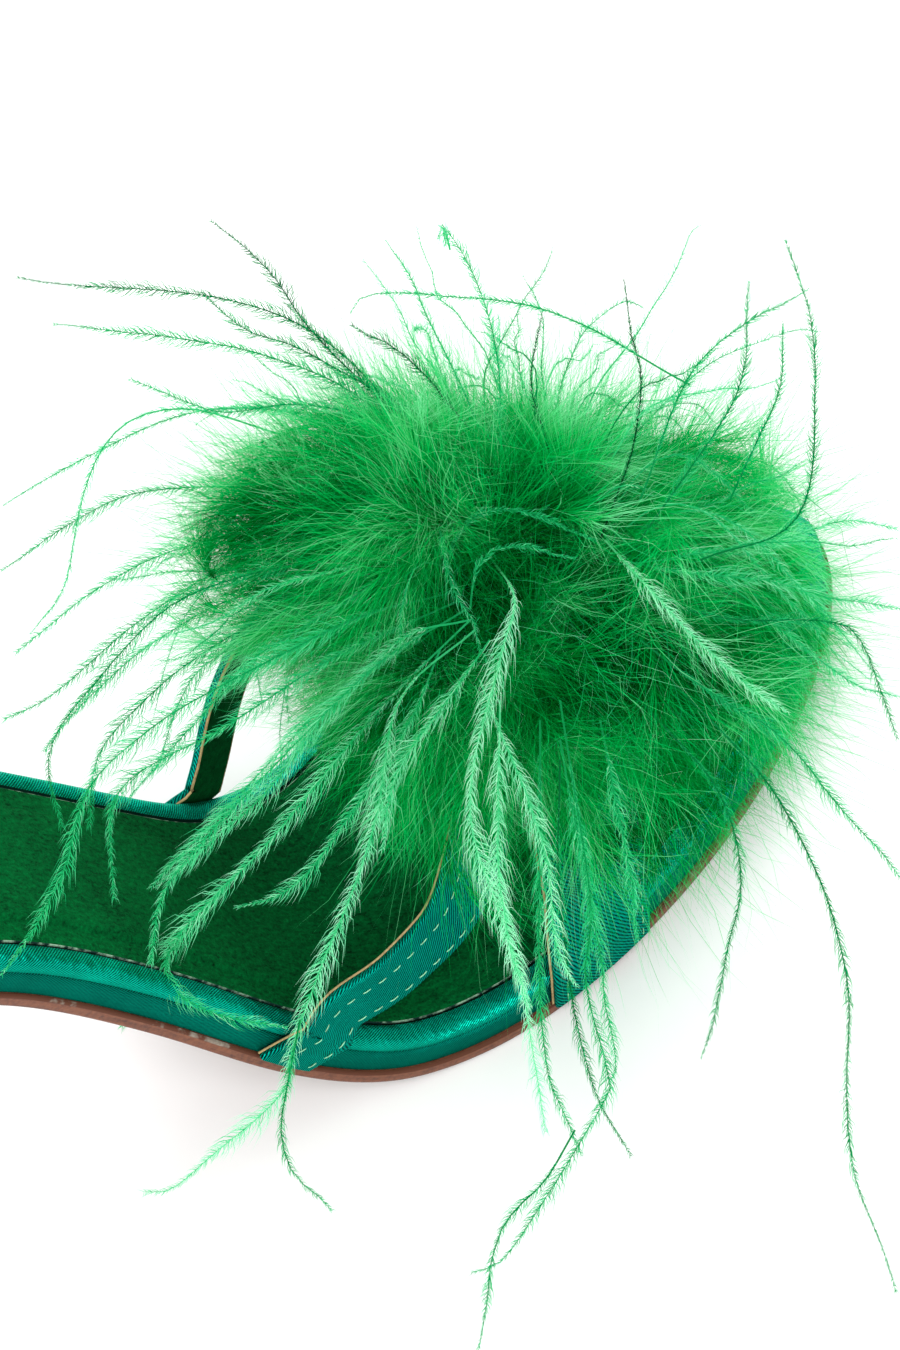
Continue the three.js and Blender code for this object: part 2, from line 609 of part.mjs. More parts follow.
// Scatter between 0 and 1 that is the same on every run.
function scatter(i, j) {
  const wave = Math.sin(i * 12.9898 + j * 78.233) * 43758.5453;
  return wave - Math.floor(wave);
}

// Ball of down whose surface is drawn out into pointed locks, every second point of its net in turn.
function downBallGeometry({ centre, size }, locks) {
  const mesh = new MeshBuilder();
  const radii = size.clone().multiplyScalar(0.5);
  const rings = 2 * locks.up;
  const net = Array.from({ length: rings - 1 }, (_, i) => {
    const polar = (Math.PI * (i + 1)) / rings;
    return Array.from({ length: locks.round }, (_, k) => {
      const isLock = (i + k) % 2 === 0;
      const azimuth = (2 * Math.PI * (k + (isLock ? 0.3 * (scatter(i, k) - 0.5) : 0))) / locks.round;
      const out = new THREE.Vector3().setFromSphericalCoords(1, polar, azimuth);
      const direction = new THREE.Vector3(out.z, out.x, out.y);
      const lift = isLock ? LOCK_LENGTH * (0.4 + 0.9 * scatter(k, i)) * Math.sin(polar) ** 0.5 : 0;
      const p = direction.clone().multiply(radii).addScaledVector(direction, lift);
      return mesh.point(p.add(centre));
    });
  });
  for (let i = 0; i + 1 < net.length; i += 1) mesh.band(net[i + 1], net[i]);
  capWithFan(mesh, net[net.length - 1], centre.clone().setZ(centre.z - radii.z));
  capWithFan(mesh, net[0], centre.clone().setZ(centre.z + radii.z), true);
  return mesh.geometry();
}

// The room of the foot up to the middle of the straps' wall, which the pompom leaves free.
function footRoomGeometry() {
  const mesh = new MeshBuilder();
  const stations = 16;
  const around = 20;
  const rows = Array.from({ length: stations + 1 }, (_, i) => {
    const x = THREE.MathUtils.lerp(-0.45 * HEEL_REACH, 0.98 * TOE_REACH, i / stations);
    return Array.from({ length: around + 1 }, (_, k) => {
      const round = k / around;
      return mesh.point(lastPoint(x, round).addScaledVector(lastNormal(x, round), STRAP_WALL / 2));
    });
  });
  mesh.grid(rows);
  const bottom = rows.map((row) => [row[0], row[around]]);
  mesh.grid(bottom, true);
  capWithFan(mesh, rows[0], averagePoint(mesh, rows[0]), true);
  capWithFan(mesh, rows[stations], averagePoint(mesh, rows[stations]));
  return mesh.geometry();
}

function averagePoint(mesh, ids) {
  const sum = new THREE.Vector3();
  ids.forEach((id) => sum.add(new THREE.Vector3().fromArray(mesh.positions, 3 * id)));
  return sum.divideScalar(ids.length);
}

// Long strands
const STRAND_SIDES = 3;
const STRAND_STEPS = 4;

// Tapered tube along one strand's arc, from inside the knot to the strand's tip.
function strandGeometry(row, swell) {
  const mesh = new MeshBuilder();
  const start = KNOT_CENTRE;
  const tip = new THREE.Vector3(row.forward, row.left, row.up).multiplyScalar(STRAND_REACH);
  const bend = new THREE.Vector3(row.bendForward, row.bendLeft, row.bendUp).multiplyScalar(STRAND_REACH);
  const curve = new THREE.QuadraticBezierCurve3(start, bend.add(start), tip.add(start));
  const rings = Array.from({ length: STRAND_STEPS + 1 }, (_, i) => {
    const t = i / STRAND_STEPS;
    const heading = curve.getTangent(t);
    const sideways = new THREE.Vector3(-heading.y, heading.x, 0).normalize();
    const upward = heading.clone().cross(sideways);
    const radius = THREE.MathUtils.lerp(STRAND_ROOT, STRAND_TIP, t) + swell;
    return Array.from({ length: STRAND_SIDES }, (_, k) => {
      const angle = (2 * Math.PI * k) / STRAND_SIDES;
      return mesh.point(curve.getPoint(t)
        .addScaledVector(sideways, radius * Math.cos(angle))
        .addScaledVector(upward, radius * Math.sin(angle)));
    });
  });
  for (let i = 0; i < STRAND_STEPS; i += 1) mesh.band(rings[i], rings[i + 1]);
  capWithFan(mesh, rings[0], start);
  capWithFan(mesh, rings[STRAND_STEPS], curve.getPoint(1), true);
  return mesh.geometry();
}

// Strands and the knot that holds them, all thickened by a margin.
function strandsSolid(swell) {
  const knot = mergeVertices(plainGeometry(new THREE.IcosahedronGeometry(KNOT_RADIUS + swell, 0)), 1e-4);
  knot.translate(KNOT_CENTRE.x, KNOT_CENTRE.y, KNOT_CENTRE.z);
  return STRANDS.reduce((solid, row) => solid.add(toManifold(strandGeometry(row, swell))), toManifold(knot));
}

function plainGeometry(geometry) {
  geometry.deleteAttribute('normal');
  geometry.deleteAttribute('uv');
  return geometry;
}

// Both balls of down without what the foot, the straps and the strands take up, nor the crumbs cut off them.
function pompomGeometry() {
  const tuft = toManifold(downBallGeometry(TUFT, TUFT_LOCKS));
  const down = toManifold(downBallGeometry(BALL, BALL_LOCKS)).add(tuft).subtract(toManifold(footRoomGeometry()));
  const bodies = down.subtract(strapsSolid(CLEARANCE)).subtract(strandsSolid(CLEARANCE)).decompose();
  bodies.sort((a, b) => b.volume() - a.volume());
  return fromManifold(bodies[0]);
}

function strandsGeometry() {
  return fromManifold(strandsSolid(0));
}

function piece(name, geometry, color, roughness, metalness = 0) {
  const mesh = new THREE.Mesh(geometry, new THREE.MeshStandardMaterial({ color, roughness, metalness }));
  mesh.name = name;
  return mesh;
}

const sandal = new THREE.Group();
sandal.add(piece('outsole', outsoleGeometry(), 0x784830, 0.55));
sandal.add(piece('footbed', footbedGeometry(), 0x00826a, 0.35));
sandal.add(piece('insole', insoleGeometry(), 0x005a28, 0.95));
sandal.add(piece('heel', heelGeometry(), 0x00826a, 0.35));
const heelTip = piece('heel_tip', heelTipGeometry(), 0x3a2418, 0.6);
heelTip.position.set(HEEL_TIP_X, 0, 0);
sandal.add(heelTip);
sandal.add(piece('upper', upperGeometry(), 0x007860, 0.4));
sandal.add(piece('pompom', pompomGeometry(), 0x00a046, 0.9));
sandal.add(piece('strands', strandsGeometry(), 0x3cc878, 0.8));

export default sandal;
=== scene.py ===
"""High-heeled satin sandal with crossed straps and a feather pompom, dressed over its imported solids."""

import math

import bpy
import numpy as np
from mathutils import Matrix, Vector


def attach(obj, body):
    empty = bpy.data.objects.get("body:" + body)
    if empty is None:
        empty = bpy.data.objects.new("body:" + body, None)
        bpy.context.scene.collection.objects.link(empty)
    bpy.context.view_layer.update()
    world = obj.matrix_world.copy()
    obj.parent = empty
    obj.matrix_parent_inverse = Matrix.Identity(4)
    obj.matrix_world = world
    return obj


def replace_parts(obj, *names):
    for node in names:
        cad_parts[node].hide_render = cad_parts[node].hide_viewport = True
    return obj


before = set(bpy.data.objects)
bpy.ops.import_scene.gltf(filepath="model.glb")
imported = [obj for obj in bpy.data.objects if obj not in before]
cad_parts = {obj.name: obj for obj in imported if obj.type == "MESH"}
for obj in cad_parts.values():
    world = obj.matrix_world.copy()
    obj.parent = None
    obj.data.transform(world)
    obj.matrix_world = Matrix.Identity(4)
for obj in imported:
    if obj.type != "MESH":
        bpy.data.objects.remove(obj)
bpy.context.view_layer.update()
rng = np.random.default_rng(20)
MM = 0.001
BODY = "root"

# Sizes of the last, in millimetres, as the solids have them
TOE_REACH = 72.5
HEEL_REACH = 147.0
BALL_WIDTH = 71.0
TOE_SWING = 6.0
SKEW = math.radians(14.0)
TREAD_BACK = 9.0
TREAD_FRONT = 10.5
TOE_SPRING = 4.4
STEEP = math.tan(math.radians(52.4))
SEAT_SLOPE = math.tan(math.radians(14.0))
CURVE_RUN = 51.4
SHANK_RUN = 6.6
SETTLE_RUN = 50.0
SEAT_LENGTH = 42.0
INSTEP_HEIGHT = 54.0
CLEARANCE = 0.3
OUTSOLE_THICKNESS = 2.2
FOOTBED_THICKNESS = 6.5
SOLE_THICKNESS = OUTSOLE_THICKNESS + CLEARANCE + FOOTBED_THICKNESS
WELT_LEDGE = 0.6
STRAP_WALL = 1.6
REAR_STRAP_WIDTH = 9.0
FRONT_STRAP_WIDTH = 20.0
HEEL_TIP_THICKNESS = 5.0
HEEL_TIP_LENGTH = 10.5
HEEL_TIP_WIDTH = 10.0
HEEL_TIP_X = 17.0 - HEEL_REACH
HEEL_TAPER = 3.4
LAST_FULLNESS = 0.68
# Share of a turn for the footbed's wall, and the step that slopes are taken over
WALL_SHARE, TURN_STEP = 0.04, 0.004

# along: share of TOE_REACH before the origin, of HEEL_REACH behind it
OUTLINE_ALONG = [-0.83, -0.68, -0.51, -0.375, -0.238, -0.102, 0.0, 0.15, 0.30]
OUTLINE = {
    "lateral": [0.345, 0.332, 0.360, 0.425, 0.490, 0.522, 0.522, 0.522, 0.522],
    "medial": [0.340, 0.285, 0.212, 0.217, 0.286, 0.368, 0.446, 0.478, 0.478],
}
TOE_CURVE = {"lateral": (-0.102, 1.65, 1.6), "medial": (0.28, 2.0, 1.75)}
TOP_ALONG = [-0.60, -0.36, -0.20, 0.0, 0.25, 0.60, 0.95]
TOP_HEIGHT = [1.10, 1.05, 1.00, 0.84, 0.66, 0.48, 0.34]
TOP_LEAN = [0.07, 0.08, 0.09, 0.07, 0.05, 0.02, 0.0]
# round, along, breadth of each strap's middle line
STRAP_FROM_LATERAL_REAR = np.array([
    (-0.07, -0.398, 0.1), (-0.04, -0.390, 0.05), (0.0, -0.374, 0.0), (0.04, -0.349, 0.0),
    (0.098, -0.259, 0.02), (0.14, -0.176, 0.05), (0.18, -0.137, 0.1), (0.32, -0.04, 0.35),
    (0.5, 0.08, 0.6), (0.75, 0.23, 0.9), (1.0, 0.33, 1), (1.07, 0.34, 1)])
STRAP_FROM_MEDIAL_REAR = np.array([
    (-0.07, -0.018, 1), (0.0, -0.014, 1), (0.2, 0.02, 0.9), (0.36, 0.05, 0.7),
    (0.5, 0.04, 0.5), (0.70, -0.07, 0.2), (0.822, -0.190, 0.05), (0.89, -0.237, 0.0),
    (0.96, -0.275, 0.0), (1.0, -0.300, 0.0), (1.07, -0.330, 0.05)])


def station_x(along):
    along = np.asarray(along, float)
    return along * np.where(along < 0, HEEL_REACH, TOE_REACH)


def curve_through(xs, ys, at):
    """Monotone cubic through a table."""
    xs, ys, at = np.asarray(xs, float), np.asarray(ys, float), np.asarray(at, float)
    step = np.diff(xs)
    secant = np.diff(ys) / step
    tangent = np.empty(len(xs))
    tangent[0], tangent[-1] = secant[0], secant[-1]
    before, after = secant[:-1], secant[1:]
    same = before * after > 0
    total = np.where(same, before + after, 1)
    tangent[1:-1] = np.where(same, 2 * before * after / total, 0)
    i = np.clip(np.searchsorted(xs, at, side="right") - 1, 0, len(xs) - 2)
    h = step[i]
    t = np.clip((at - xs[i]) / h, 0, 1)
    rise = (1 - t) ** 2 * t * h * tangent[i] - t ** 2 * (1 - t) * h * tangent[i + 1]
    return ys[i] * (1 + 2 * t) * (1 - t) ** 2 + ys[i + 1] * t * t * (3 - 2 * t) + rise


def half_width(side, x):
    width = BALL_WIDTH * curve_through(station_x(OUTLINE_ALONG), OUTLINE[side], x)
    root, lengthwise, crosswise = TOE_CURVE[side]
    start = float(station_x(root))
    share = np.clip((x - start) / (TOE_REACH - start), 0, 1)
    tip = TOE_SWING if side == "medial" else -TOE_SWING
    return tip + (width - tip) * np.maximum(1 - share ** lengthwise, 0) ** (1 / crosswise)


def smoothstep(x, low, high):
    t = np.clip((x - low) / (high - low), 0, 1)
    return t * t * (3 - 2 * t)


def unit(v):
    return v / np.maximum(np.linalg.norm(v, axis=-1, keepdims=True), 1e-9)


def mix(a, b, share):
    return a * (1 - share) + b * share


def chain(root, *steps):
    """Lines that leave their roots step by step."""
    return np.cumsum(np.stack([root, *steps], 1), 1)


def run_length(line):
    """Length along a line up to each of its points."""
    return np.concatenate([[0], np.cumsum(np.linalg.norm(np.diff(line, axis=0), axis=1))])


def sample(line, length, at):
    """A line's points, or the directions at them, at other lengths along it."""
    return np.stack([np.interp(at, length, line[:, k]) for k in range(3)], -1)


def shank_height(behind):
    def eased(run, length):
        u = np.clip(run / length, 0, 1)
        return length * (u ** 3 - u ** 4 / 2) + np.maximum(run - length, 0)
    settle = CURVE_RUN + SHANK_RUN
    return STEEP * eased(behind, CURVE_RUN) - (STEEP - SEAT_SLOPE) * eased(behind - settle, SETTLE_RUN)


def underside_z(x, y):
    square = 0.75 * smoothstep(-x, 0.64 * HEEL_REACH, 0.92 * HEEL_REACH)
    ahead = x * math.cos(SKEW) - y * math.sin(SKEW) * (1 - square)
    spring = np.maximum(ahead - TREAD_FRONT, 0) / (TOE_REACH - TREAD_FRONT)
    return shank_height(-ahead - TREAD_BACK) + TOE_SPRING * spring ** 2


def sole_point(x, y, thickness):
    step = 0.5
    slope_x = (underside_z(x + step, y) - underside_z(x - step, y)) / (2 * step)
    slope_y = (underside_z(x, y + step) - underside_z(x, y - step)) / (2 * step)
    length = np.sqrt(slope_x ** 2 + slope_y ** 2 + 1)
    z = underside_z(x, y) + thickness / length
    return np.stack([x - slope_x * thickness / length, y - slope_y * thickness / length, z], -1)


# Plan of the sole
HEEL_STATIONS, SEAT_STATIONS, BODY_STATIONS, TOE_STATIONS = 8, 4, 24, 10
FINE = 5
BACK_X = float(station_x(OUTLINE_ALONG[0]))
TOE_BOX_X = 0.55 * TOE_REACH
BREAST_X = SEAT_LENGTH - HEEL_REACH
STATIONS = (HEEL_STATIONS + SEAT_STATIONS + BODY_STATIONS + TOE_STATIONS) * FINE
BREAST_STATION = (HEEL_STATIONS + SEAT_STATIONS) * FINE


def outline_side(side):
    sign = -1 if side == "lateral" else 1
    t = np.arange(HEEL_STATIONS * FINE) / (HEEL_STATIONS * FINE) * math.pi / 2
    back = np.stack([BACK_X - (HEEL_REACH + BACK_X) * np.cos(t),
                     sign * half_width(side, np.array(BACK_X)) * np.sin(t)], -1)
    x = np.concatenate([
        np.linspace(BACK_X, BREAST_X, SEAT_STATIONS * FINE, endpoint=False),
        np.linspace(BREAST_X, TOE_BOX_X, BODY_STATIONS * FINE, endpoint=False),
        TOE_BOX_X + (TOE_REACH - TOE_BOX_X) * np.sin(np.linspace(0, math.pi / 2, TOE_STATIONS * FINE + 1))])
    return np.concatenate([back, np.stack([x, sign * half_width(side, x)], -1)])


def smooth_loop(points, passes):
    for _ in range(passes):
        points = 0.5 * points + 0.25 * (np.roll(points, 1, 0) + np.roll(points, -1, 0))
    return points


_lateral, _medial = outline_side("lateral"), outline_side("medial")
PLAN = smooth_loop(np.concatenate([_lateral, _medial[1:-1][::-1]]), 6)


def plan_inset(inset):
    """Closed outline moved inward; where it would fold over itself the points are drawn along a chord."""
    run = unit(np.roll(PLAN, -1, 0) - np.roll(PLAN, 1, 0))
    moved = PLAN + inset * np.stack([-run[:, 1], run[:, 0]], -1)
    if inset > 0.1:
        gap = np.sqrt(((moved[:, None] - PLAN[None]) ** 2).sum(-1)).min(1)
        good = np.nonzero(gap > inset * 0.985)[0]
        index = np.arange(len(PLAN))
        moved = np.stack([np.interp(index, good, moved[good, k], period=len(PLAN)) for k in (0, 1)], -1)
        moved = smooth_loop(moved, 2)
    return moved


def plan_sides(inset):
    loop = plan_inset(inset)
    lateral = loop[:STATIONS + 1]
    medial = np.concatenate([loop[:1], loop[STATIONS + 1:][::-1], loop[STATIONS:STATIONS + 1]])
    return lateral, medial


def instep(x):
    """Sideways lean and height of the last's top line."""
    along = station_x(TOP_ALONG)
    return BALL_WIDTH * curve_through(along, TOP_LEAN, x), INSTEP_HEIGHT * curve_through(along, TOP_HEIGHT, x)


# The skin of the last that the straps lie on
def last_point(x, around):
    x, around = np.asarray(x, float), np.asarray(around, float)
    lateral = -(half_width("lateral", x) - WELT_LEDGE + CLEARANCE)
    medial = half_width("medial", x) - WELT_LEDGE + CLEARANCE
    drop = np.where(around < 0, -around, np.maximum(around - 1, 0)) / WALL_SHARE
    angle = math.pi * np.clip(around, 0, 1)
    cosine = np.cos(angle)
    sideways = -np.sign(cosine) * np.abs(cosine) ** LAST_FULLNESS
    lean, height = instep(x)
    y = (lateral + medial) / 2 + (medial - lateral) / 2 * sideways + lean * np.sin(angle)
    p = sole_point(x, y, SOLE_THICKNESS - drop * FOOTBED_THICKNESS)
    p[..., 2] += height * np.sin(angle)
    return p


def last_frame(x, around):
    along = last_point(x + 0.5, around) - last_point(x - 0.5, around)
    across = (last_point(x, around + TURN_STEP) - last_point(x, around - TURN_STEP)) / (2 * TURN_STEP)
    return along, across, unit(np.cross(along, across))


def show(name, data):
    """Puts a mesh, a lamp or a camera in the scene."""
    shown = bpy.data.objects.new(name, data)
    bpy.context.scene.collection.objects.link(shown)
    return shown


# Meshes
def make_mesh(name, points, faces, material, uv=None, tone=None):
    """points in millimetres; faces: rows of 3 or 4 corners; uv: one pair per point."""
    mesh = bpy.data.meshes.new(name)
    points = np.asarray(points, np.float32) * np.float32(MM)
    groups = [np.asarray(f, np.int32) for f in faces if len(f)]
    corners = np.concatenate([g.ravel() for g in groups])
    sizes = np.concatenate([np.full(len(g), g.shape[1], np.int32) for g in groups])
    mesh.vertices.add(len(points))
    mesh.vertices.foreach_set("co", points.ravel())
    mesh.loops.add(len(corners))
    mesh.loops.foreach_set("vertex_index", corners)
    mesh.polygons.add(len(sizes))
    starts = np.concatenate([[0], np.cumsum(sizes)[:-1]]).astype(np.int32)
    mesh.polygons.foreach_set("loop_start", starts)
    mesh.polygons.foreach_set("use_smooth", np.ones(len(sizes), bool))
    if uv is not None:
        layer = mesh.uv_layers.new(name="cloth")
        layer.data.foreach_set("uv", np.asarray(uv, np.float32)[corners].ravel())
    if tone is not None:
        layer = mesh.attributes.new("tone", "FLOAT", "POINT")
        layer.data.foreach_set("value", np.asarray(tone, np.float32))
    mesh.update(calc_edges=True)
    mesh.validate()
    mesh.materials.append(material)
    return show(name, mesh)


class Surface:
    """Grids of points joined into one mesh."""

    def __init__(self):
        self.points, self.faces, self.uv, self.count = [], [], [], 0

    def grid(self, p, uv=None, flip=False):
        """Rows of points; without uv the plan lengths serve."""
        rows, columns = p.shape[:2]
        uv = p[..., :2] * MM if uv is None else uv
        index = self.count + np.arange(rows * columns).reshape(rows, columns)
        quads = np.stack([index[:-1, :-1], index[:-1, 1:], index[1:, 1:], index[1:, :-1]], -1).reshape(-1, 4)
        self.faces.append(quads[:, ::-1] if flip else quads)
        self.points.append(p.reshape(-1, 3))
        self.uv.append(uv.reshape(-1, 2))
        self.count += rows * columns

    def band(self, p, flip=False):
        """Rows of points with cloth lengths along and across them."""
        self.grid(p, band_uv(p), flip)

    def piece(self, name, material):
        return make_mesh(name, np.concatenate(self.points), [np.concatenate(self.faces)], material,
                         uv=np.concatenate(self.uv))


def band_uv(p):
    """Lengths in metres along the rows and across them."""
    along = np.linalg.norm(np.diff(p, axis=1), axis=-1)
    u = np.concatenate([np.zeros((p.shape[0], 1)), np.cumsum(along, 1)], 1)
    u = np.repeat(u[:1], p.shape[0], 0)
    across = np.linalg.norm(np.diff(p, axis=0), axis=-1).mean(1)
    v = np.concatenate([[0], np.cumsum(across)])[:, None] * np.ones((1, p.shape[1]))
    return np.stack([u, v], -1) * MM


def sole_loop(inset, thickness, first=0):
    """Loop round a sole layer, from the first station along the little-toe side to the toe and back."""
    lateral, medial = plan_sides(inset)
    loop = np.concatenate([lateral[first:], medial[first:-1][::-1]])
    return sole_point(loop[:, 0], loop[:, 1], thickness)


def sole_rows(inset, thickness, first, last, across=14):
    lateral, medial = plan_sides(inset)
    t = np.linspace(0, 1, across + 1)[None, :, None]
    p = mix(lateral[first:last + 1, None], medial[first:last + 1, None], t)
    return sole_point(p[..., 0], p[..., 1], thickness)


def sole_layer(surface, profile, first=0, caps=(True, True)):
    """Walls through a list of (inset, thickness), closed below and above."""
    loops = np.stack([sole_loop(inset, thickness, first) for inset, thickness in profile])
    if first:
        surface.band(loops)
        t = np.linspace(0, 1, 15)[None, :, None]
        surface.band(mix(loops[:, -1:], loops[:, :1], t))
    else:
        surface.band(np.concatenate([loops, loops[:, :1]], 1))
    for wanted, (inset, thickness), flip in zip(caps, (profile[0], profile[-1]), (True, False)):
        if wanted:
            surface.grid(sole_rows(inset, thickness, first, STATIONS), flip=flip)


# Materials
def colour(r, g, b):
    """Linear colour from the 0 to 255 values of a screen."""
    def linear(v):
        v /= 255
        return v / 12.92 if v <= 0.04045 else ((v + 0.055) / 1.055) ** 2.4
    return (linear(r), linear(g), linear(b), 1)


class Nodes:
    """Small helper round one material's node tree."""

    def __init__(self, name):
        self.material = bpy.data.materials.new(name)
        self.material.use_nodes = True
        self.tree = self.material.node_tree
        self.tree.nodes.clear()
        self.output = self.tree.nodes.new("ShaderNodeOutputMaterial")

    def add(self, kind, **values):
        node = self.tree.nodes.new(kind)
        for key, value in values.items():
            if hasattr(node, key):
                setattr(node, key, value)
            else:
                self.put(node.inputs[key.replace("_", " ")], value)
        return node

    def put(self, socket, value):
        if isinstance(value, bpy.types.NodeSocket):
            self.tree.links.new(value, socket)
        else:
            socket.default_value = value

    def math(self, operation, a, b):
        node = self.tree.nodes.new("ShaderNodeMath")
        node.operation = operation
        self.put(node.inputs[0], a)
        self.put(node.inputs[1], b)
        return node.outputs[0]

    def wave(self, length, pitch):
        return self.math("SINE", self.math("MULTIPLY", length, 2 * math.pi / pitch), 0.0)

    def blend(self, start, *parts):
        """Start value plus each (socket, weight)."""
        total = start
        for socket, weight in parts:
            total = self.math("ADD", self.math("MULTIPLY", socket, weight), total)
        return total

    def noise(self, vector, scale, detail=3.0, rough=0.5):
        return self.add("ShaderNodeTexNoise", Vector=vector, Scale=scale, Detail=detail,
                        Roughness=rough).outputs["Fac"]

    def place(self):
        return self.add("ShaderNodeTexCoord").outputs["Object"]

    def cloth(self):
        return self.add("ShaderNodeUVMap", uv_map="cloth").outputs[0]

    def stretch(self, vector, *scale):
        """Noise drawn out along the axes with the small scales."""
        return self.add("ShaderNodeMapping", Vector=vector, Scale=scale).outputs[0]

    def ramp(self, value, *stops):
        node = self.tree.nodes.new("ShaderNodeValToRGB")
        elements = node.color_ramp.elements
        while len(elements) < len(stops):
            elements.new(0.5)
        for element, (position, shade) in zip(elements, stops):
            element.position = position
            element.color = shade
        self.put(node.inputs[0], value)
        return node.outputs[0]

    def bump(self, height, strength, distance, **under):
        return self.add("ShaderNodeBump", Strength=strength, Distance=distance, Height=height,
                        **under).outputs[0]

    def shader(self, **values):
        return self.add("ShaderNodeBsdfPrincipled", **values).outputs[0]

    def finish(self, socket):
        self.tree.links.new(socket, self.output.inputs["Surface"])
        return self.material

    def surface(self, **values):
        return self.finish(self.shader(**values))


def satin(name, dark, light, pitch=0.00056, rough=0.4, creases=0.55):
    """Satin twill whose diagonal ribs follow the piece's own cloth lengths."""
    n = Nodes(name)
    uv, space = n.cloth(), n.place()
    length, across, _ = n.add("ShaderNodeSeparateXYZ", Vector=uv).outputs
    rib = n.wave(n.blend(length, (across, -1.3), (n.noise(uv, 900.0, 2.0), 0.00016)), pitch)
    thread = n.wave(n.blend(across, (length, -0.35)), pitch * 0.62)
    weave = n.blend(0.5, (rib, 0.4), (thread, 0.1))
    cloudy = n.noise(space, 70.0, 4.0, 0.6)
    slub = n.noise(n.stretch(uv, 150.0, 2600.0, 1.0), 1.0, 2.0)
    amount = n.blend(0.0, (weave, 0.6), (cloudy, 0.28), (slub, 0.12))
    creased = n.bump(n.noise(space, 150.0, 3.0, 0.55), creases, 0.0015)
    return n.surface(Base_Color=n.ramp(amount, (0.26, dark), (0.74, light)),
                     Roughness=n.blend(rough, (cloudy, 0.12)), Metallic=0.95, Specular_IOR_Level=0.2,
                     Specular_Tint=(0.1, 0.85, 0.68, 1), Normal=n.bump(weave, 0.8, 0.00012, Normal=creased))


def suede(name, dark, light):
    """Brushed nap with streaks across the shoe and small darker tufts."""
    n = Nodes(name)
    space = n.place()
    streaks = n.noise(n.stretch(space, 620.0, 1500.0, 900.0), 1.0, 3.0, 0.6)
    grain = n.noise(space, 2500.0, 4.0, 0.75)
    amount = n.blend(0.0, (streaks, 0.5), (grain, 0.6), (n.noise(space, 55.0, 4.0, 0.55), 0.2))
    nap = n.blend(0.0, (streaks, 0.6), (grain, 0.9))
    return n.surface(Base_Color=n.ramp(amount, (0.46, dark), (0.86, light)), Roughness=0.96,
                     Normal=n.bump(nap, 1.0, 0.0007), Specular_IOR_Level=0.03, Sheen_Weight=0.12,
                     Sheen_Roughness=0.5, Sheen_Tint=light)


def leather_edge(name):
    """Dyed sole leather: layers along its cut edge, with specks."""
    n = Nodes(name)
    layers = n.noise(n.stretch(n.cloth(), 60.0, 2600.0, 1.0), 1.0, 4.0, 0.6)
    amount = n.blend(0.0, (layers, 0.5), (n.noise(n.place(), 1300.0, 3.0, 0.6), 0.5))
    base = n.ramp(amount, (0.36, colour(74, 38, 24)), (0.5, colour(108, 60, 38)), (0.72, colour(132, 80, 52)))
    return n.surface(Base_Color=base, Roughness=0.55, Specular_IOR_Level=0.4,
                     Normal=n.bump(amount, 0.35, 0.0003))


def plain(name, shade, rough, grain=1500.0, depth=0.0001, specular=0.4):
    n = Nodes(name)
    amount = n.noise(n.place(), grain, 3.0, 0.6)
    darker, lighter = (tuple(min(1, c * k) for c in shade[:3]) + (1,) for k in (0.62, 1.3))
    return n.surface(Base_Color=n.ramp(amount, (0.3, darker), (0.5, shade), (0.75, lighter)), Roughness=rough,
                     Normal=n.bump(amount, 0.4, depth), Specular_IOR_Level=specular)


def speckled(name, scale, low, high, dark, pale):
    """Pale line broken up by dark stretches: cement above the sole's edge, the cut edge of the sock."""
    n = Nodes(name)
    base = n.ramp(n.noise(n.place(), scale, 5.0, 0.7), (low, dark), (high, pale))
    return n.surface(Base_Color=base, Roughness=0.7, Specular_IOR_Level=0.2)


def feather(name, through, specular, *stops):
    """Barb: coloured by its own tone, lit from both sides."""
    n = Nodes(name)
    base = n.ramp(n.add("ShaderNodeAttribute", attribute_name="tone").outputs["Fac"], *stops)
    mixed = n.add("ShaderNodeMixShader", Fac=through)
    n.put(mixed.inputs[1], n.shader(Base_Color=base, Roughness=0.6, Specular_IOR_Level=specular))
    n.put(mixed.inputs[2], n.add("ShaderNodeBsdfTranslucent", Color=base).outputs[0])
    return n.finish(mixed.outputs[0])


WALL_SATIN = satin("wall_satin", colour(0, 34, 36), colour(0, 136, 114))
# Rim satin: the wall's satin with lighter colours, a painted highlight along the rolled edge
RIM_SATIN_PAINTED_HIGHLIGHT = satin("rim_satin_painted_highlight", colour(0, 50, 48), colour(6, 206, 174), rough=0.27, creases=0.85)
STRAP_SATIN = satin("strap_satin", colour(0, 18, 22), colour(0, 156, 136), pitch=0.0007, rough=0.34)
HEEL_SATIN = satin("heel_satin", colour(0, 50, 46), colour(0, 146, 120), pitch=0.00062)
SUEDE = suede("sock_suede", colour(0, 24, 12), colour(0, 120, 56))
LINING = suede("strap_lining", colour(0, 44, 18), colour(4, 96, 44))
OUTSOLE_EDGE = leather_edge("outsole_leather")
TAN_EDGE = plain("tan_edge", colour(176, 148, 102), 0.7)
SOCK_EDGE = speckled("sock_edge", 420.0, 0.47, 0.62, colour(0, 40, 34), colour(146, 180, 154))
GLUE = speckled("glue_line", 70.0, 0.56, 0.7, colour(84, 46, 30), colour(176, 174, 160))
# Dark colour of the strip in the groove under the sock's edge: painted shadow of that edge
SEAM_PAINTED_SHADOW = plain("seam_shadow", colour(0, 30, 22), 0.9, specular=0.05)
THREAD = plain("mint_thread", colour(142, 206, 164), 0.7)
TIP_RUBBER = plain("heel_tip_rubber", colour(58, 36, 24), 0.65)
DOWN = feather("down", 0.5, 0.0, (0.0, colour(0, 44, 6)), (0.3, colour(0, 122, 40)), (0.58, colour(0, 182, 80)),
               (0.8, colour(8, 212, 108)), (1.0, colour(130, 238, 172)))
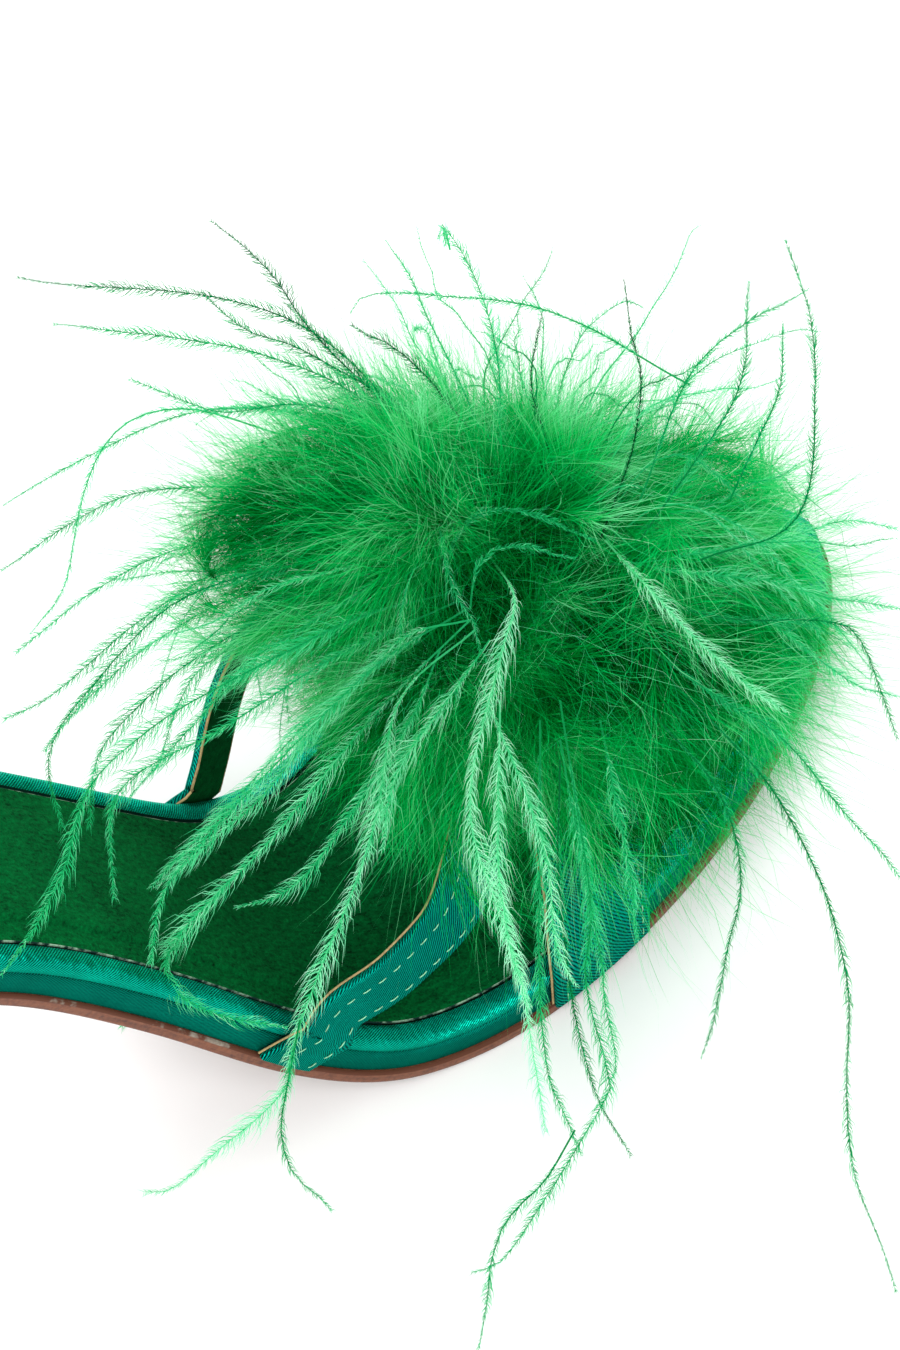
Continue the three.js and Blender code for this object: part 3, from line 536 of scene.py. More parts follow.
STRAND = feather("strand", 0.42, 0.06, (0.0, colour(0, 74, 36)), (0.3, colour(0, 142, 74)),
                 (0.62, colour(40, 200, 124)), (0.85, colour(124, 236, 178)), (1.0, colour(184, 252, 214)))
# Dark matte fill inside the down: painted shade for its depths
DOWN_CORE_SHADE = plain("down_core", colour(0, 60, 16), 1.0, grain=500.0, depth=0.002, specular=0.02)


# Outsole, footbed, sock, heel
def build_outsole():
    surface = Surface()
    profile = [(0.35, 0.0), (0.08, 0.18), (0.0, 0.5), (0.0, OUTSOLE_THICKNESS - 0.5),
               (0.1, OUTSOLE_THICKNESS - 0.15), (0.35, OUTSOLE_THICKNESS)]
    sole_layer(surface, profile, first=BREAST_STATION)
    glue = Surface()
    top = OUTSOLE_THICKNESS
    sole_layer(glue, [(0.02, top - 0.42), (-0.02, top - 0.25), (0.12, top + 0.02), (0.5, top + 0.1)],
               first=BREAST_STATION, caps=(False, False))
    return surface.piece("outsole_body", OUTSOLE_EDGE), glue.piece("outsole_glue", GLUE)


def build_footbed():
    wall, rim = Surface(), Surface()
    base = OUTSOLE_THICKNESS + 0.1
    sole_layer(wall, [(0.75, base), (0.6, base + 0.5), (0.5, 4.0), (0.55, 5.4), (0.75, 6.2), (1.2, 6.5)],
               caps=(True, False))
    sole_layer(rim, [(1.1, 6.35), (0.62, 6.7), (0.5, 7.3), (0.7, 8.0), (1.2, 8.6), (2.0, 8.95), (3.0, 9.0),
                     (3.8, 8.82), (4.12, 8.64)], caps=(False, False))
    # Dark strip from the rim's inner edge down under the sock's edge: painted shadow in the groove
    seam = Surface()
    sole_layer(seam, [(4.1, 8.66), (4.28, 8.38), (4.74, 8.3), (4.76, 7.5)], caps=(False, False))
    return (wall.piece("footbed_wall", WALL_SATIN), rim.piece("footbed_rim", RIM_SATIN_PAINTED_HIGHLIGHT),
            seam.piece("footbed_seam_painted_shadow", SEAM_PAINTED_SHADOW))


def build_sock():
    sock = Surface()
    sole_layer(sock, [(4.78, 7.6), (4.74, 8.62), (4.9, 8.7), (5.6, 8.76), (7.6, 8.78), (8.5, 8.7), (8.75, 8.8),
                      (9.0, 9.12), (9.5, 9.32), (10.6, 9.42)])
    piping = Surface()
    sole_layer(piping, [(4.72, 8.1), (4.69, 8.4), (4.7, 8.6), (4.75, 8.65), (4.82, 8.66)], caps=(False, False))
    return sock.piece("sock", SUEDE), piping.piece("sock_edge", SOCK_EDGE)


def heel_ring(share, rim):
    seat_centre = -HEEL_REACH + SEAT_LENGTH / 2
    angle = np.arctan2(rim[:, 1] * SEAT_LENGTH / BALL_WIDTH * 1.4, rim[:, 0] - seat_centre)
    foot = np.stack([HEEL_TIP_X + HEEL_TIP_LENGTH / 2 * np.cos(angle), HEEL_TIP_WIDTH / 2 * np.sin(angle)], -1)
    spread = (1 - share) ** HEEL_TAPER
    ring = np.empty_like(rim)
    ring[:, :2] = mix(foot, rim[:, :2], spread)
    ring[:, 2] = mix(rim[:, 2], HEEL_TIP_THICKNESS + 0.1, share)
    return ring


def build_heel():
    lateral, medial = plan_sides(WELT_LEDGE)
    last = BREAST_STATION + 1
    t = np.linspace(0, 1, 16)[1:-1, None]
    breast = mix(lateral[last - 1], medial[last - 1], t)
    loop = np.concatenate([lateral[:last], breast, medial[1:last][::-1]])
    rim = sole_point(loop[:, 0], loop[:, 1], OUTSOLE_THICKNESS)
    rings = np.stack([heel_ring(s, rim) for s in np.linspace(0, 1, 49)])
    rings = np.concatenate([rings, rings[:, :1]], 1)
    surface = Surface()
    surface.band(rings, flip=True)
    surface.grid(sole_rows(WELT_LEDGE, OUTSOLE_THICKNESS, 0, BREAST_STATION), flip=True)
    foot = rings[-1]
    surface.grid(np.stack([foot, np.repeat(foot.mean(0)[None], len(foot), 0)]), flip=True)
    return surface.piece("heel_cover", HEEL_SATIN)


# Straps
STRAP_STEPS = 150


def strap_rows(table):
    """Stations, turns round the foot, run and half width along a strap's middle line."""
    def along(around):
        return station_x(curve_through(table[:, 0], table[:, 1], around))
    around = np.linspace(table[0, 0], table[-1, 0], STRAP_STEPS)
    ahead, behind = (last_point(along(turn), turn) for turn in (around + TURN_STEP, around - TURN_STEP))
    breadth = curve_through(table[:, 0], table[:, 2], around)
    half = (REAR_STRAP_WIDTH + (FRONT_STRAP_WIDTH - REAR_STRAP_WIDTH) * breadth) / 2
    return along(around), around, ahead - behind, half


def beside_strap(x, around, run, distance):
    """Stations and turns of the skin's points at a distance to the side of a line on it."""
    side = unit(np.cross(last_frame(x, around)[2], run))
    target = last_point(x, around) + side * distance[:, None]
    sx, sr = x.copy(), around.copy()
    for _ in range(5):
        along, across, _ = last_frame(sx, sr)
        rest = target - last_point(sx, sr)
        aa, ab, bb = (along ** 2).sum(-1), (along * across).sum(-1), (across ** 2).sum(-1)
        ra, rb = (rest * along).sum(-1), (rest * across).sum(-1)
        det = aa * bb - ab * ab
        sx = sx + (ra * bb - rb * ab) / det
        sr = sr + (rb * aa - ra * ab) / det
    return sx, sr


STRAP_END = WALL_SHARE - 0.0008


def strap_frame(rows, distance):
    """Skin points and normals along a line beside the strap's middle, cut off square at the outsole."""
    x, around, run, _ = rows
    sx, sr = beside_strap(x, around, run, distance)
    steps = np.arange(len(x))
    first, last = np.interp([-STRAP_END, 1 + STRAP_END], sr, steps)
    at = np.linspace(first, last, len(x))
    sx, sr = np.interp(at, steps, sx), np.interp(at, steps, sr)
    return last_point(sx, sr), last_frame(sx, sr)[2]


def strap_line(rows, share, lift):
    """Line along a strap at a share of its half width and a height over the skin."""
    place, normal = strap_frame(rows, rows[3] * share)
    return place + normal * lift


def build_strap(name, table, lift):
    """Satin face, suede lining and tan cut edges, of which the rear one stands out."""
    rows = strap_rows(table)
    shares = np.concatenate([[-1.0, -0.985], np.linspace(-0.93, 0.93, 13), [0.985, 1.0]])
    crown = -0.05 * shares ** 2
    crown[[0, -1]], crown[[1, -2]] = -0.62, -0.28
    top = STRAP_WALL + lift
    outer = np.stack([strap_line(rows, share, top + rise) for share, rise in zip(shares, crown)])
    face, back, lip = Surface(), Surface(), Surface()
    face.band(outer, flip=True)
    for side, share in ((0, -0.985), (-1, 0.985)):
        face.band(np.stack([outer[side], strap_line(rows, share, lift + 0.45)]), flip=side != 0)
    back.band(np.stack([strap_line(rows, share, lift + 0.02) for share in np.linspace(-0.97, 0.97, 9)]))
    for side, out, high in ((-1.0, 1.0, lift + 0.25), (1.0, 1.009, lift + 0.34)):
        profile = [(out - 0.04, high), (out, (lift + high) / 2 + 0.15), (out - 0.01, lift), (out - 0.06, lift)]
        lip.band(np.stack([strap_line(rows, side * share, rise) for share, rise in profile]), flip=side > 0)
    return [face.piece(name + "_face", STRAP_SATIN), back.piece(name + "_lining", LINING),
            lip.piece(name + "_edge", TAN_EDGE)], rows, top


# Stitches: distance from one to the next, share of it that shows, and radius of the thread
PITCH, SHOWN, THREAD_RADIUS = 2.8, 0.66, 0.085


def stitches(name, line, normal):
    """Row of thread dashes that dip into the cloth at both ends."""
    length = run_length(line)
    starts = np.arange(0.6, length[-1] - PITCH, PITCH)
    sides, rings = 5, 5
    at = starts[:, None] + np.linspace(0, 1, rings)[None] * PITCH * SHOWN
    centre = sample(line, length, at)
    up = unit(sample(normal, length, at))
    side = np.cross(unit(np.gradient(centre, axis=1)), up)
    rise = np.array([-0.1, 0.05, 0.1, 0.05, -0.1])[None, :, None]
    fat = np.array([0.55, 1, 1, 1, 0.55])[None, :, None, None] * THREAD_RADIUS
    angle = (np.arange(sides) / sides * 2 * math.pi)[:, None]
    around = side[:, :, None] * np.cos(angle) + up[:, :, None] * np.sin(angle)
    p = (centre + up * rise)[:, :, None] + around * fat
    index = np.arange(len(starts) * rings * sides).reshape(-1, rings, sides)
    following = np.roll(index, -1, 2)
    quads = np.stack([index[:, :-1], following[:, :-1], following[:, 1:], index[:, 1:]], -1).reshape(-1, 4)
    return make_mesh(name, p.reshape(-1, 3), [quads], THREAD)


# Camera, solved from the photograph
EYE = np.array([-269.743, -489.004, 771.153])
LOOK = np.array([0.29170416, 0.53108583, -0.7955228])
RIGHT = np.array([0.80934162, -0.58030287, -0.09063513])
UP = np.array([0.50977919, 0.61741107, 0.59910662])
FOCAL = 6081.724
PICTURE = (900, 1350)
RISE = np.array([0, 0, 1.0])
KNOT = np.array([12.0, -5.0, 57.6])
BALL = np.array([14.0, -10.0, 46.0])
BALL_RADII = np.array([38.0, 34.0, 27.0])
TUFT = np.array([-6.0, 12.0, 68.0])
TUFT_RADII = np.array([20.0, 18.0, 14.0])
# Centres and radii of the lobes that the down fills, with each one's share of the plumes
LOBES = [
    (BALL, BALL_RADII, 0.42),
    (TUFT, TUFT_RADII, 0.18),
    (np.array([8.0, 5.0, 60.0]), np.array([24.0, 20.0, 16.0]), 0.12),
    (np.array([-20.0, 16.0, 66.0]), np.array([14.0, 13.0, 12.0]), 0.04),
    (np.array([8.0, -22.0, 37.0]), np.array([30.0, 23.0, 18.0]), 0.13),
    (np.array([-12.0, -14.0, 51.0]), np.array([18.0, 15.0, 15.0]), 0.11),
]


def picture_point(px, py, height):
    """Point at a height above the floor that is seen at a pixel of the picture."""
    ray = LOOK + RIGHT * (px - PICTURE[0] / 2) / FOCAL - UP * (py - PICTURE[1] / 2) / FOCAL
    return EYE + ray * (height - EYE[2]) / ray[2]


def spline(points, count):
    """Smooth curve through points, evenly stepped along its length."""
    p = np.asarray(points, float)
    p = np.concatenate([[2 * p[0] - p[1]], p, [2 * p[-1] - p[-2]]])
    out = []
    for a, b, c, d in zip(p[:-3], p[1:-2], p[2:-1], p[3:]):
        t = np.linspace(0, 1, 16, endpoint=False)[:, None]
        out.append(0.5 * (2 * b + (c - a) * t + (2 * a - 5 * b + 4 * c - d) * t ** 2
                          + (3 * b - a - 3 * c + d) * t ** 3))
    line = np.concatenate(out + [p[-2:-1]])
    length = run_length(line)
    return sample(line, length, np.linspace(0, length[-1], count))


# Strands: width of the shaft, lean of the barbs in degrees, and spread of their lengths
SHAFT_WIDTH, BARB_ANGLE, RAGGED = 0.3, 33.0, 0.4


class Barbs:
    """Batches of tapered ribbons, each with its own tone."""

    def __init__(self):
        self.points, self.quads, self.tris, self.tones, self.count = [], [], [], [], 0

    def add(self, spine, side, width, tone):
        """spine and side: barb, ring, 3; width and tone: barb, ring. The last ring is the tip."""
        n, rings = spine.shape[:2]
        if not n:
            return
        left = spine[:, :-1] + side[:, :-1] * width[:, :-1, None] / 2
        right = spine[:, :-1] - side[:, :-1] * width[:, :-1, None] / 2
        body = np.stack([left, right], 2).reshape(n, -1, 3)
        p = np.concatenate([body, spine[:, -1:]], 1)
        per = p.shape[1]
        base = self.count + np.arange(n)[:, None] * per
        for r in range(rings - 2):
            self.quads.append(base + np.array([[2 * r, 2 * r + 1, 2 * r + 3, 2 * r + 2]]))
        self.tris.append(base + np.array([[per - 3, per - 2, per - 1]]))
        self.points.append(p.reshape(-1, 3))
        shade = np.concatenate([np.repeat(tone[:, :-1], 2, axis=1), tone[:, -1:]], 1)
        self.tones.append(shade.ravel())
        self.count += n * per

    def piece(self, name, material):
        faces = [np.concatenate(self.quads), np.concatenate(self.tris)]
        return make_mesh(name, np.concatenate(self.points), faces, material, tone=np.concatenate(self.tones))


def plume(barbs, line, barb_length, spacing, width, tone, roll=LOOK, start=0.1):
    """Ostrich strand: a fine shaft with short barbs on both sides that lean towards the tip."""
    count = len(line)
    heading = unit(np.gradient(line, axis=0))
    reference = unit(np.cross(heading, roll))
    for side in (reference, unit(np.cross(heading, reference))):
        barbs.add(line[None], side[None], SHAFT_WIDTH * np.linspace(1, 0.25, count)[None],
                  np.full((1, count), max(tone - 0.2, 0.0)))
    length = run_length(line)
    at = np.arange(length[-1] * start, length[-1] - 0.3, spacing)
    n = len(at)
    if n < 2:
        return
    share = at / length[-1]
    profile = np.clip((share - start) / 0.12, 0.25, 1) * np.clip((1.02 - share) / 0.3, 0.2, 1) ** 0.7
    profile = profile * (0.85 + 0.3 * np.sin(share * rng.uniform(14, 26) + rng.uniform(0, 6)))
    for sign in (-1, 1):
        s = at + rng.uniform(-0.5, 0.5, n) * spacing
        root = sample(line, length, s)
        t, r = unit(sample(heading, length, s)), unit(sample(reference, length, s))
        b = unit(np.cross(t, r))
        tilt = rng.normal(0, 0.7, n)[:, None]
        out = sign * (r * np.cos(tilt) + b * np.sin(tilt))
        a = np.radians(np.clip(rng.normal(BARB_ANGLE, 9, n), 6, 70))[:, None]
        size = (barb_length * profile * rng.uniform(1 - RAGGED, 1 + RAGGED, n))[:, None]
        d0 = unit(out * np.sin(a * 1.25) + t * np.cos(a * 1.25))
        d1 = unit(out * np.sin(a * 0.45) + t * np.cos(a * 0.45) - RISE * 0.12)
        spine = chain(root, d0 * size * 0.45, d1 * size * 0.55)
        flat = unit(np.cross(np.broadcast_to(b[:, None], spine.shape), np.stack([d0, d0, d1], 1)))
        shade = np.clip(tone + rng.normal(0, 0.1, n)[:, None] + np.array([-0.1, 0.02, 0.12])[None], 0, 1)
        barbs.add(spine, flat, width * np.array([[1.0, 0.8, 0.2]]) * np.ones((n, 1)), shade)


# Paths of the visible strands, one row each: tone, barb length, then a pixel's place across and down
# with its height above the floor, point by point
PATHS = [
    (0.2, 2.4, 500, 540, 66, 400, 420, 77, 310, 330, 83, 265, 265, 84, 210, 220, 84),
    (0.3, 2.6, 500, 540, 66, 300, 325, 83, 15, 277, 84),
    (0.5, 3.0, 500, 545, 66, 400, 430, 77, 270, 355, 83, 47, 325, 84),
    (0.55, 2.6, 500, 545, 66, 380, 430, 79, 300, 405, 82, 220, 410, 83, 130, 380, 84),
    (0.6, 1.6, 490, 550, 69, 400, 450, 69, 270, 410, 63, 150, 425, 54, 0, 508, 35),
    (0.5, 3.2, 490, 550, 69, 400, 500, 70, 270, 488, 61, 120, 498, 52, 0, 572, 36),
    (0.62, 3.0, 490, 550, 69, 390, 520, 70, 250, 530, 60, 140, 565, 52, 15, 655, 37),
    (0.55, 3.0, 480, 560, 69, 380, 545, 70, 240, 565, 61, 130, 625, 50, 60, 690, 40, 5, 720, 34),
    (0.6, 3.0, 480, 565, 69, 370, 570, 69, 230, 600, 60, 130, 660, 50, 60, 730, 41, 45, 752, 37),
    (0.5, 3.0, 470, 570, 70, 240, 630, 68, 110, 740, 61, 90, 830, 54),
    (0.45, 2.4, 470, 570, 70, 330, 560, 74, 180, 600, 75, 90, 690, 69, 50, 760, 65, 60, 830, 59),
    (0.7, 1.2, 300, 440, 57, 180, 410, 60, 100, 450, 57, 62, 590, 43, 30, 640, 39),
    (0.6, 3.2, 460, 590, 70, 330, 630, 75, 110, 760, 78, 60, 880, 75, 0, 978, 73),
    (0.62, 3.0, 460, 600, 70, 330, 660, 69, 220, 730, 66, 120, 790, 63, 112, 900, 55),
    (0.68, 3.2, 465, 610, 70, 360, 680, 68, 180, 870, 58, 150, 965, 52),
    (0.78, 3.0, 470, 620, 70, 370, 720, 62, 260, 850, 53, 170, 950, 47, 120, 1027, 32),
    (0.8, 3.0, 470, 620, 70, 400, 640, 70, 320, 720, 61, 260, 800, 54, 155, 888, 46),
    (0.66, 2.6, 255, 850, 49, 190, 930, 47, 165, 965, 49, 190, 1005, 44, 292, 1028, 38),
    (0.86, 3.2, 475, 630, 70, 400, 700, 66, 372, 830, 55, 295, 1040, 36, 280, 1095, 29, 180, 1182, 15,
     138, 1192, 10),
    (0.5, 1.5, 300, 1020, 39, 282, 1140, 27, 330, 1212, 19),
    (0.95, 3.4, 490, 557, 69, 515, 600, 75, 500, 660, 71, 470, 810, 59, 518, 970, 47, 545, 1130, 33),
    (0.88, 3.2, 480, 680, 68, 548, 860, 55, 556, 950, 49, 575, 990, 46),
    (0.9, 3.2, 500, 700, 67, 500, 890, 54, 530, 1010, 45),
    (0.95, 2.8, 605, 540, 70, 650, 590, 73, 745, 685, 60, 790, 715, 55),
    (0.7, 3.2, 620, 560, 70, 700, 575, 70, 770, 582, 63, 905, 612, 49),
    (0.4, 2.0, 640, 600, 68, 740, 620, 65, 820, 620, 61, 860, 640, 58, 898, 742, 47),
    (0.55, 2.2, 640, 640, 66, 720, 700, 61, 790, 745, 55, 900, 882, 40),
    (0.4, 1.7, 650, 660, 63, 775, 795, 53, 845, 960, 38, 849, 1150, 19, 897, 1292, 5),
    (0.4, 1.5, 640, 700, 61, 710, 780, 56, 738, 850, 52, 735, 930, 46, 700, 1060, 37),
    (0.55, 2.4, 560, 700, 67, 590, 900, 52, 585, 980, 46, 607, 1070, 38, 600, 1110, 34, 510, 1250, 18,
     470, 1272, 14),
    (0.5, 1.6, 575, 1130, 33, 545, 1180, 26, 500, 1235, 20, 478, 1352, 5),
    (0.35, 1.6, 560, 760, 60, 560, 900, 51, 590, 1080, 37, 631, 1158, 28),
    (0.55, 2.2, 540, 720, 64, 540, 960, 48, 545, 1060, 40, 582, 1158, 29),
    (0.6, 2.4, 560, 740, 61, 612, 1030, 42, 608, 1082, 37),
    (0.6, 2.2, 600, 720, 61, 620, 820, 56, 640, 940, 49),
    (0.72, 2.8, 420, 640, 67, 330, 700, 63, 150, 890, 47),
    (0.7, 2.8, 440, 650, 68, 400, 740, 62, 300, 880, 48, 235, 905, 44),
    (0.8, 3.0, 490, 640, 70, 400, 770, 61, 380, 850, 54),
    (0.6, 2.6, 480, 560, 67, 500, 430, 75, 492, 330, 81, 447, 228, 86, 440, 238, 84),
    (0.75, 2.2, 450, 250, 84, 444, 226, 86, 446, 248, 84),
    (0.6, 1.4, 690, 385, 82, 540, 308, 87, 380, 295, 86, 350, 315, 84),
    (0.15, 1.0, 600, 540, 70, 632, 450, 76, 640, 370, 80, 622, 282, 84),
    (0.2, 1.0, 560, 520, 68, 548, 450, 74, 532, 380, 78, 541, 310, 82),
    (0.45, 2.0, 640, 540, 73, 733, 400, 81, 751, 283, 84),
    (0.4, 2.0, 700, 560, 77, 802, 510, 80, 812, 330, 83, 784, 240, 84),
    (0.55, 1.6, 640, 500, 75, 700, 360, 83, 812, 288, 84),
    (0.5, 1.6, 730, 500, 80, 762, 430, 83, 782, 380, 83, 783, 320, 84),
    (0.65, 1.3, 480, 430, 76, 440, 340, 81, 385, 236, 84),
    (0.2, 2.2, 470, 430, 76, 410, 360, 82, 350, 325, 84),
    (0.35, 2.4, 430, 420, 78, 300, 350, 83, 240, 325, 83, 200, 290, 84),
    (0.7, 1.6, 740, 600, 59, 850, 680, 51, 900, 700, 48),
    (0.8, 2.2, 700, 560, 61, 780, 540, 62, 850, 520, 57, 898, 530, 51),
    (0.62, 2.6, 440, 560, 70, 230, 650, 59, 180, 700, 54, 160, 760, 47),
    (0.5, 1.2, 446, 600, 72, 452, 545, 77, 490, 512, 79, 545, 515, 79, 600, 545, 77),
    (0.55, 1.1, 470, 610, 74, 480, 560, 77, 520, 545, 78, 575, 560, 77),
    (0.66, 2.6, 420, 600, 69, 310, 640, 63, 215, 700, 55, 130, 800, 43),
]


def ribbons(name, material, *parts):
    barbs = Barbs()
    barbs.add(*parts)
    return barbs.piece(name, material)


def waver(line, amount):
    """Small random waves along a line, none at its root."""
    share = np.linspace(0, 1, len(line))[:, None]
    wave = np.zeros_like(line)
    for turns in (1.5, 3.2, 6.0):
        wave += np.sin(2 * math.pi * turns * share + rng.uniform(0, 6.3, 3)) * rng.normal(0, 1, 3) / turns
    return line + wave * share * amount


def build_strands():
    barbs = Barbs()
    for tone, barb_length, *path in PATHS:
        points = [picture_point(*spot) for spot in np.reshape(path, (-1, 3))]
        steps = max(8, int(run_length(points)[-1] / 2.5))
        line = waver(spline(points, steps), 0.5)
        line[:, 2] = np.maximum(line[:, 2], 1.5)
        plume(barbs, line, barb_length * (1.3 if tone > 0.75 else 1.2), 0.25, 0.1, tone)
    return barbs.piece("strands_near", STRAND)


# Far-side strands that the solids have: the knot's bend point and the tip, from the knot, in millimetres
FAR_STRANDS = [
    ((30, 30, 22), (52, 42, -16)), ((10, 42, 20), (24, 66, -22)), ((-12, 42, 22), (-16, 70, -18)),
    ((42, 14, 14), (68, 18, -12)),
]


def outward(degrees):
    azimuth = math.radians(degrees)
    return np.array([math.cos(azimuth), math.sin(azimuth), 0])


def hidden_strands():
    """Strands on the far side, which hang and rise as the visible ones do."""
    barbs = Barbs()
    t = np.linspace(0, 1, 26)[:, None]
    for bend, tip in FAR_STRANDS:
        line = waver(KNOT + 2 * t * (1 - t) * np.array(bend) + t * t * np.array(tip), 0.6)
        plume(barbs, line, 2.6, 0.42, 0.11, 0.6, RISE)
    for _ in range(30):
        out = outward(rng.uniform(-15, 150))
        reach, lift, fall = rng.uniform(38, 62), rng.uniform(-6, 14), rng.uniform(25, 50)
        points = [KNOT + out * 4, KNOT + out * reach * 0.45 + RISE * lift,
                  KNOT + out * reach * 0.85 + RISE * (lift * 0.4 - fall * 0.4),
                  KNOT + out * reach - RISE * fall + rng.normal(0, 3, 3)]
        line = waver(spline(points, 26), 0.6)
        plume(barbs, line, rng.uniform(1.8, 3.2), 0.45, 0.11, rng.uniform(0.35, 0.85), RISE)
    for k in range(62):
        out = outward(rng.uniform(15, 205) if k < 46 else rng.uniform(-75, 15))
        reach, lift = rng.uniform(30, 62), rng.uniform(4, 22)
        fall = rng.uniform(-12, 10) if out[0] < 0.2 else rng.uniform(-10, 30)
        points = [KNOT + out * 10 + RISE * 6, KNOT + out * reach * 0.5 + RISE * lift + rng.normal(0, 2, 3),
                  KNOT + out * reach + RISE * (lift * 0.7 - fall) + rng.normal(0, 6, 3)]
        line = waver(spline(points, 22), 1.2)
        plume(barbs, line, rng.uniform(1.3, 2.6), 0.36, 0.08, rng.uniform(0.5, 0.9), start=0.3)
    return barbs.piece("strands_far", STRAND)


# Down: plumes that leave the knot, sweep over the two balls and shed long soft barbs
def foot_top(p):
    """Height of the foot's upper side over each point."""
    x = np.clip(p[:, 0], -60, 68)
    lateral = -(half_width("lateral", x) - WELT_LEDGE)
    medial = half_width("medial", x) - WELT_LEDGE
    lean, height = instep(x)
    middle, half = (lateral + medial) / 2 + lean * 0.8, (medial - lateral) / 2
    inside = np.clip(1 - ((p[:, 1] - middle) / half) ** 2, 0, 1) ** 0.5
    return underside_z(x, p[:, 1]) + SOLE_THICKNESS + height * inside


PARTING = np.array([-0.05, 0.16, 1.0])
# Direction of the side of the pompom that faces the camera: painted shade darkens the down there, and no pale
# ends are put there
PAINTED_SHADE_SIDE = np.array([-0.3, -0.55, 0.78])


class Sweep:
    """Courses over the lobes, from the parting above the knot to each plume's tip."""

    def __init__(self, local, count):
        which = local.choice(len(LOBES), count, p=[lobe[2] for lobe in LOBES])
        self.centre = np.array([lobe[0] for lobe in LOBES])[which]
        self.radii = np.array([lobe[1] for lobe in LOBES])[which]
        aim = unit(local.normal(size=(count, 3)) * np.array([1, 1, 0.8]) + np.array([0.05, -0.1, 0.12]))
        from_knot = (KNOT + PARTING * 14 - self.centre) / self.radii
        self.start = unit(unit(from_knot) + local.normal(0, 0.24, (count, 3)))
        wild = local.random(count) < 0.13
        self.start[wild] = unit(aim[wild] + local.normal(0, 0.6, (int(wild.sum()), 3)))
        self.angle = np.arccos(np.clip((self.start * aim).sum(-1), -0.98, 0.98))
        self.across = unit(aim - self.start * (self.start * aim).sum(-1, keepdims=True))
        self.bow = np.cross(self.start, self.across) * local.normal(0, 0.16, (count, 1))
        self.end = local.uniform(0.66, 1.12, count)
        self.end += 0.12 * (local.random(count) < 0.12)
        self.tone = local.normal(0, 0.11, count) + 0.22 * (local.random(count) < 0.08)
        self.curl = local.normal(0, 0.12, (count, 3))

    def place(self, which, share):
        turn = (self.angle[which] * share)[:, None]
        direction = self.start[which] * np.cos(turn) + self.across[which] * np.sin(turn)
        direction = direction + self.bow[which] * np.sin(math.pi * share)[:, None]
        swell = 0.5 + (self.end[which] - 0.5) * np.clip(share, 0, 1.2) ** 0.6
        return self.centre[which] + self.radii[which] * direction * swell[:, None]


def clear(spine):
    """Barbs that stay off the floor and leave the room of the foot, a little of which they may hang into."""
    p = spine.reshape(-1, 3)
    sink = 15.0 * smoothstep(-p[:, 0], -12.0, 6.0)
    limit = np.maximum(foot_top(p) - sink, np.where(np.abs(p[:, 1]) < 30, 34.0 * (p[:, 0] < 40), 0))
    return ((p[:, 2] > limit + 0.5) & (p[:, 2] > 3.0)).reshape(spine.shape[:2]).all(1)


# Spots of painted shade where the down looks hollow: place, reach, depth
PIT_SHADE = [((12.0, -8.0, 68.0), (14.0, 8.0, 12.0), 0.28), ((-3.0, -8.0, 65.0), (8.0, 7.0, 10.0), 0.3),
        ((12.0, -33.0, 58.0), (13.0, 8.0, 9.0), 0.28)]


def patches_and_painted_shade(p):
    """Slow light and dark patches through the down at random, with painted shade in its hollows and low down,
    and painted light that lightens it towards the toe.
    """
    q = p / np.array([9.0, 7.0, 8.0])
    waves = np.sin(q[..., 0] + 1.7 * np.sin(q[..., 1])) * np.cos(q[..., 1] * 1.3 + q[..., 2])
    fine = np.sin(q[..., 0] * 2.7 + 2.0) * np.sin(q[..., 1] * 3.1 + q[..., 2] * 2.3)
    pit = sum(depth * np.exp(-(((p - np.array(place)) / np.array(reach)) ** 2).sum(-1))
              for place, reach, depth in PIT_SHADE)
    low = smoothstep(52.0 - p[..., 2], 0.0, 26.0)
    return 0.14 * waves + 0.1 * fine - pit - 0.24 * low + 0.14 * smoothstep(p[..., 0], -10.0, 42.0) - 0.06


def build_haze(count):
    """Sparse pale barb ends that stand out round the pompom."""
    local = np.random.default_rng(3)
    sweep = Sweep(local, count)
    which = np.arange(count)
    root = sweep.place(which, local.uniform(0.75, 1.1, count))
    normal = unit((root - sweep.centre) / sweep.radii ** 2)
    ahead = unit(unit(root - KNOT) * 0.9 + normal * 0.6 + RISE * 0.35 + local.normal(0, 0.2, (count, 3)))
    size = local.uniform(10, 27, (count, 1))
    bend = local.normal(0, 0.15, (count, 3))
    spine = chain(root, ahead * size * 0.35, unit(ahead + bend) * size * 0.35,
                  unit(ahead + bend * 2.2) * size * 0.3)
    keep = clear(spine) & (normal @ PAINTED_SHADE_SIDE < 0.12)
    spine, ahead = spine[keep], ahead[keep]
    n = len(spine)
    side = unit(np.cross(np.repeat(ahead[:, None], 4, 1), unit(local.normal(size=(n, 1, 3)))))
    widths = 0.065 * np.array([1.0, 0.85, 0.6, 0.2])[None] * local.uniform(0.8, 1.3, (n, 1))
    tone = np.clip(local.normal(0.84, 0.12, (n, 1)) + np.array([-0.2, -0.05, 0.05, 0.12])[None], 0, 1)
    return ribbons("down_haze", DOWN, spine, side, widths, tone)


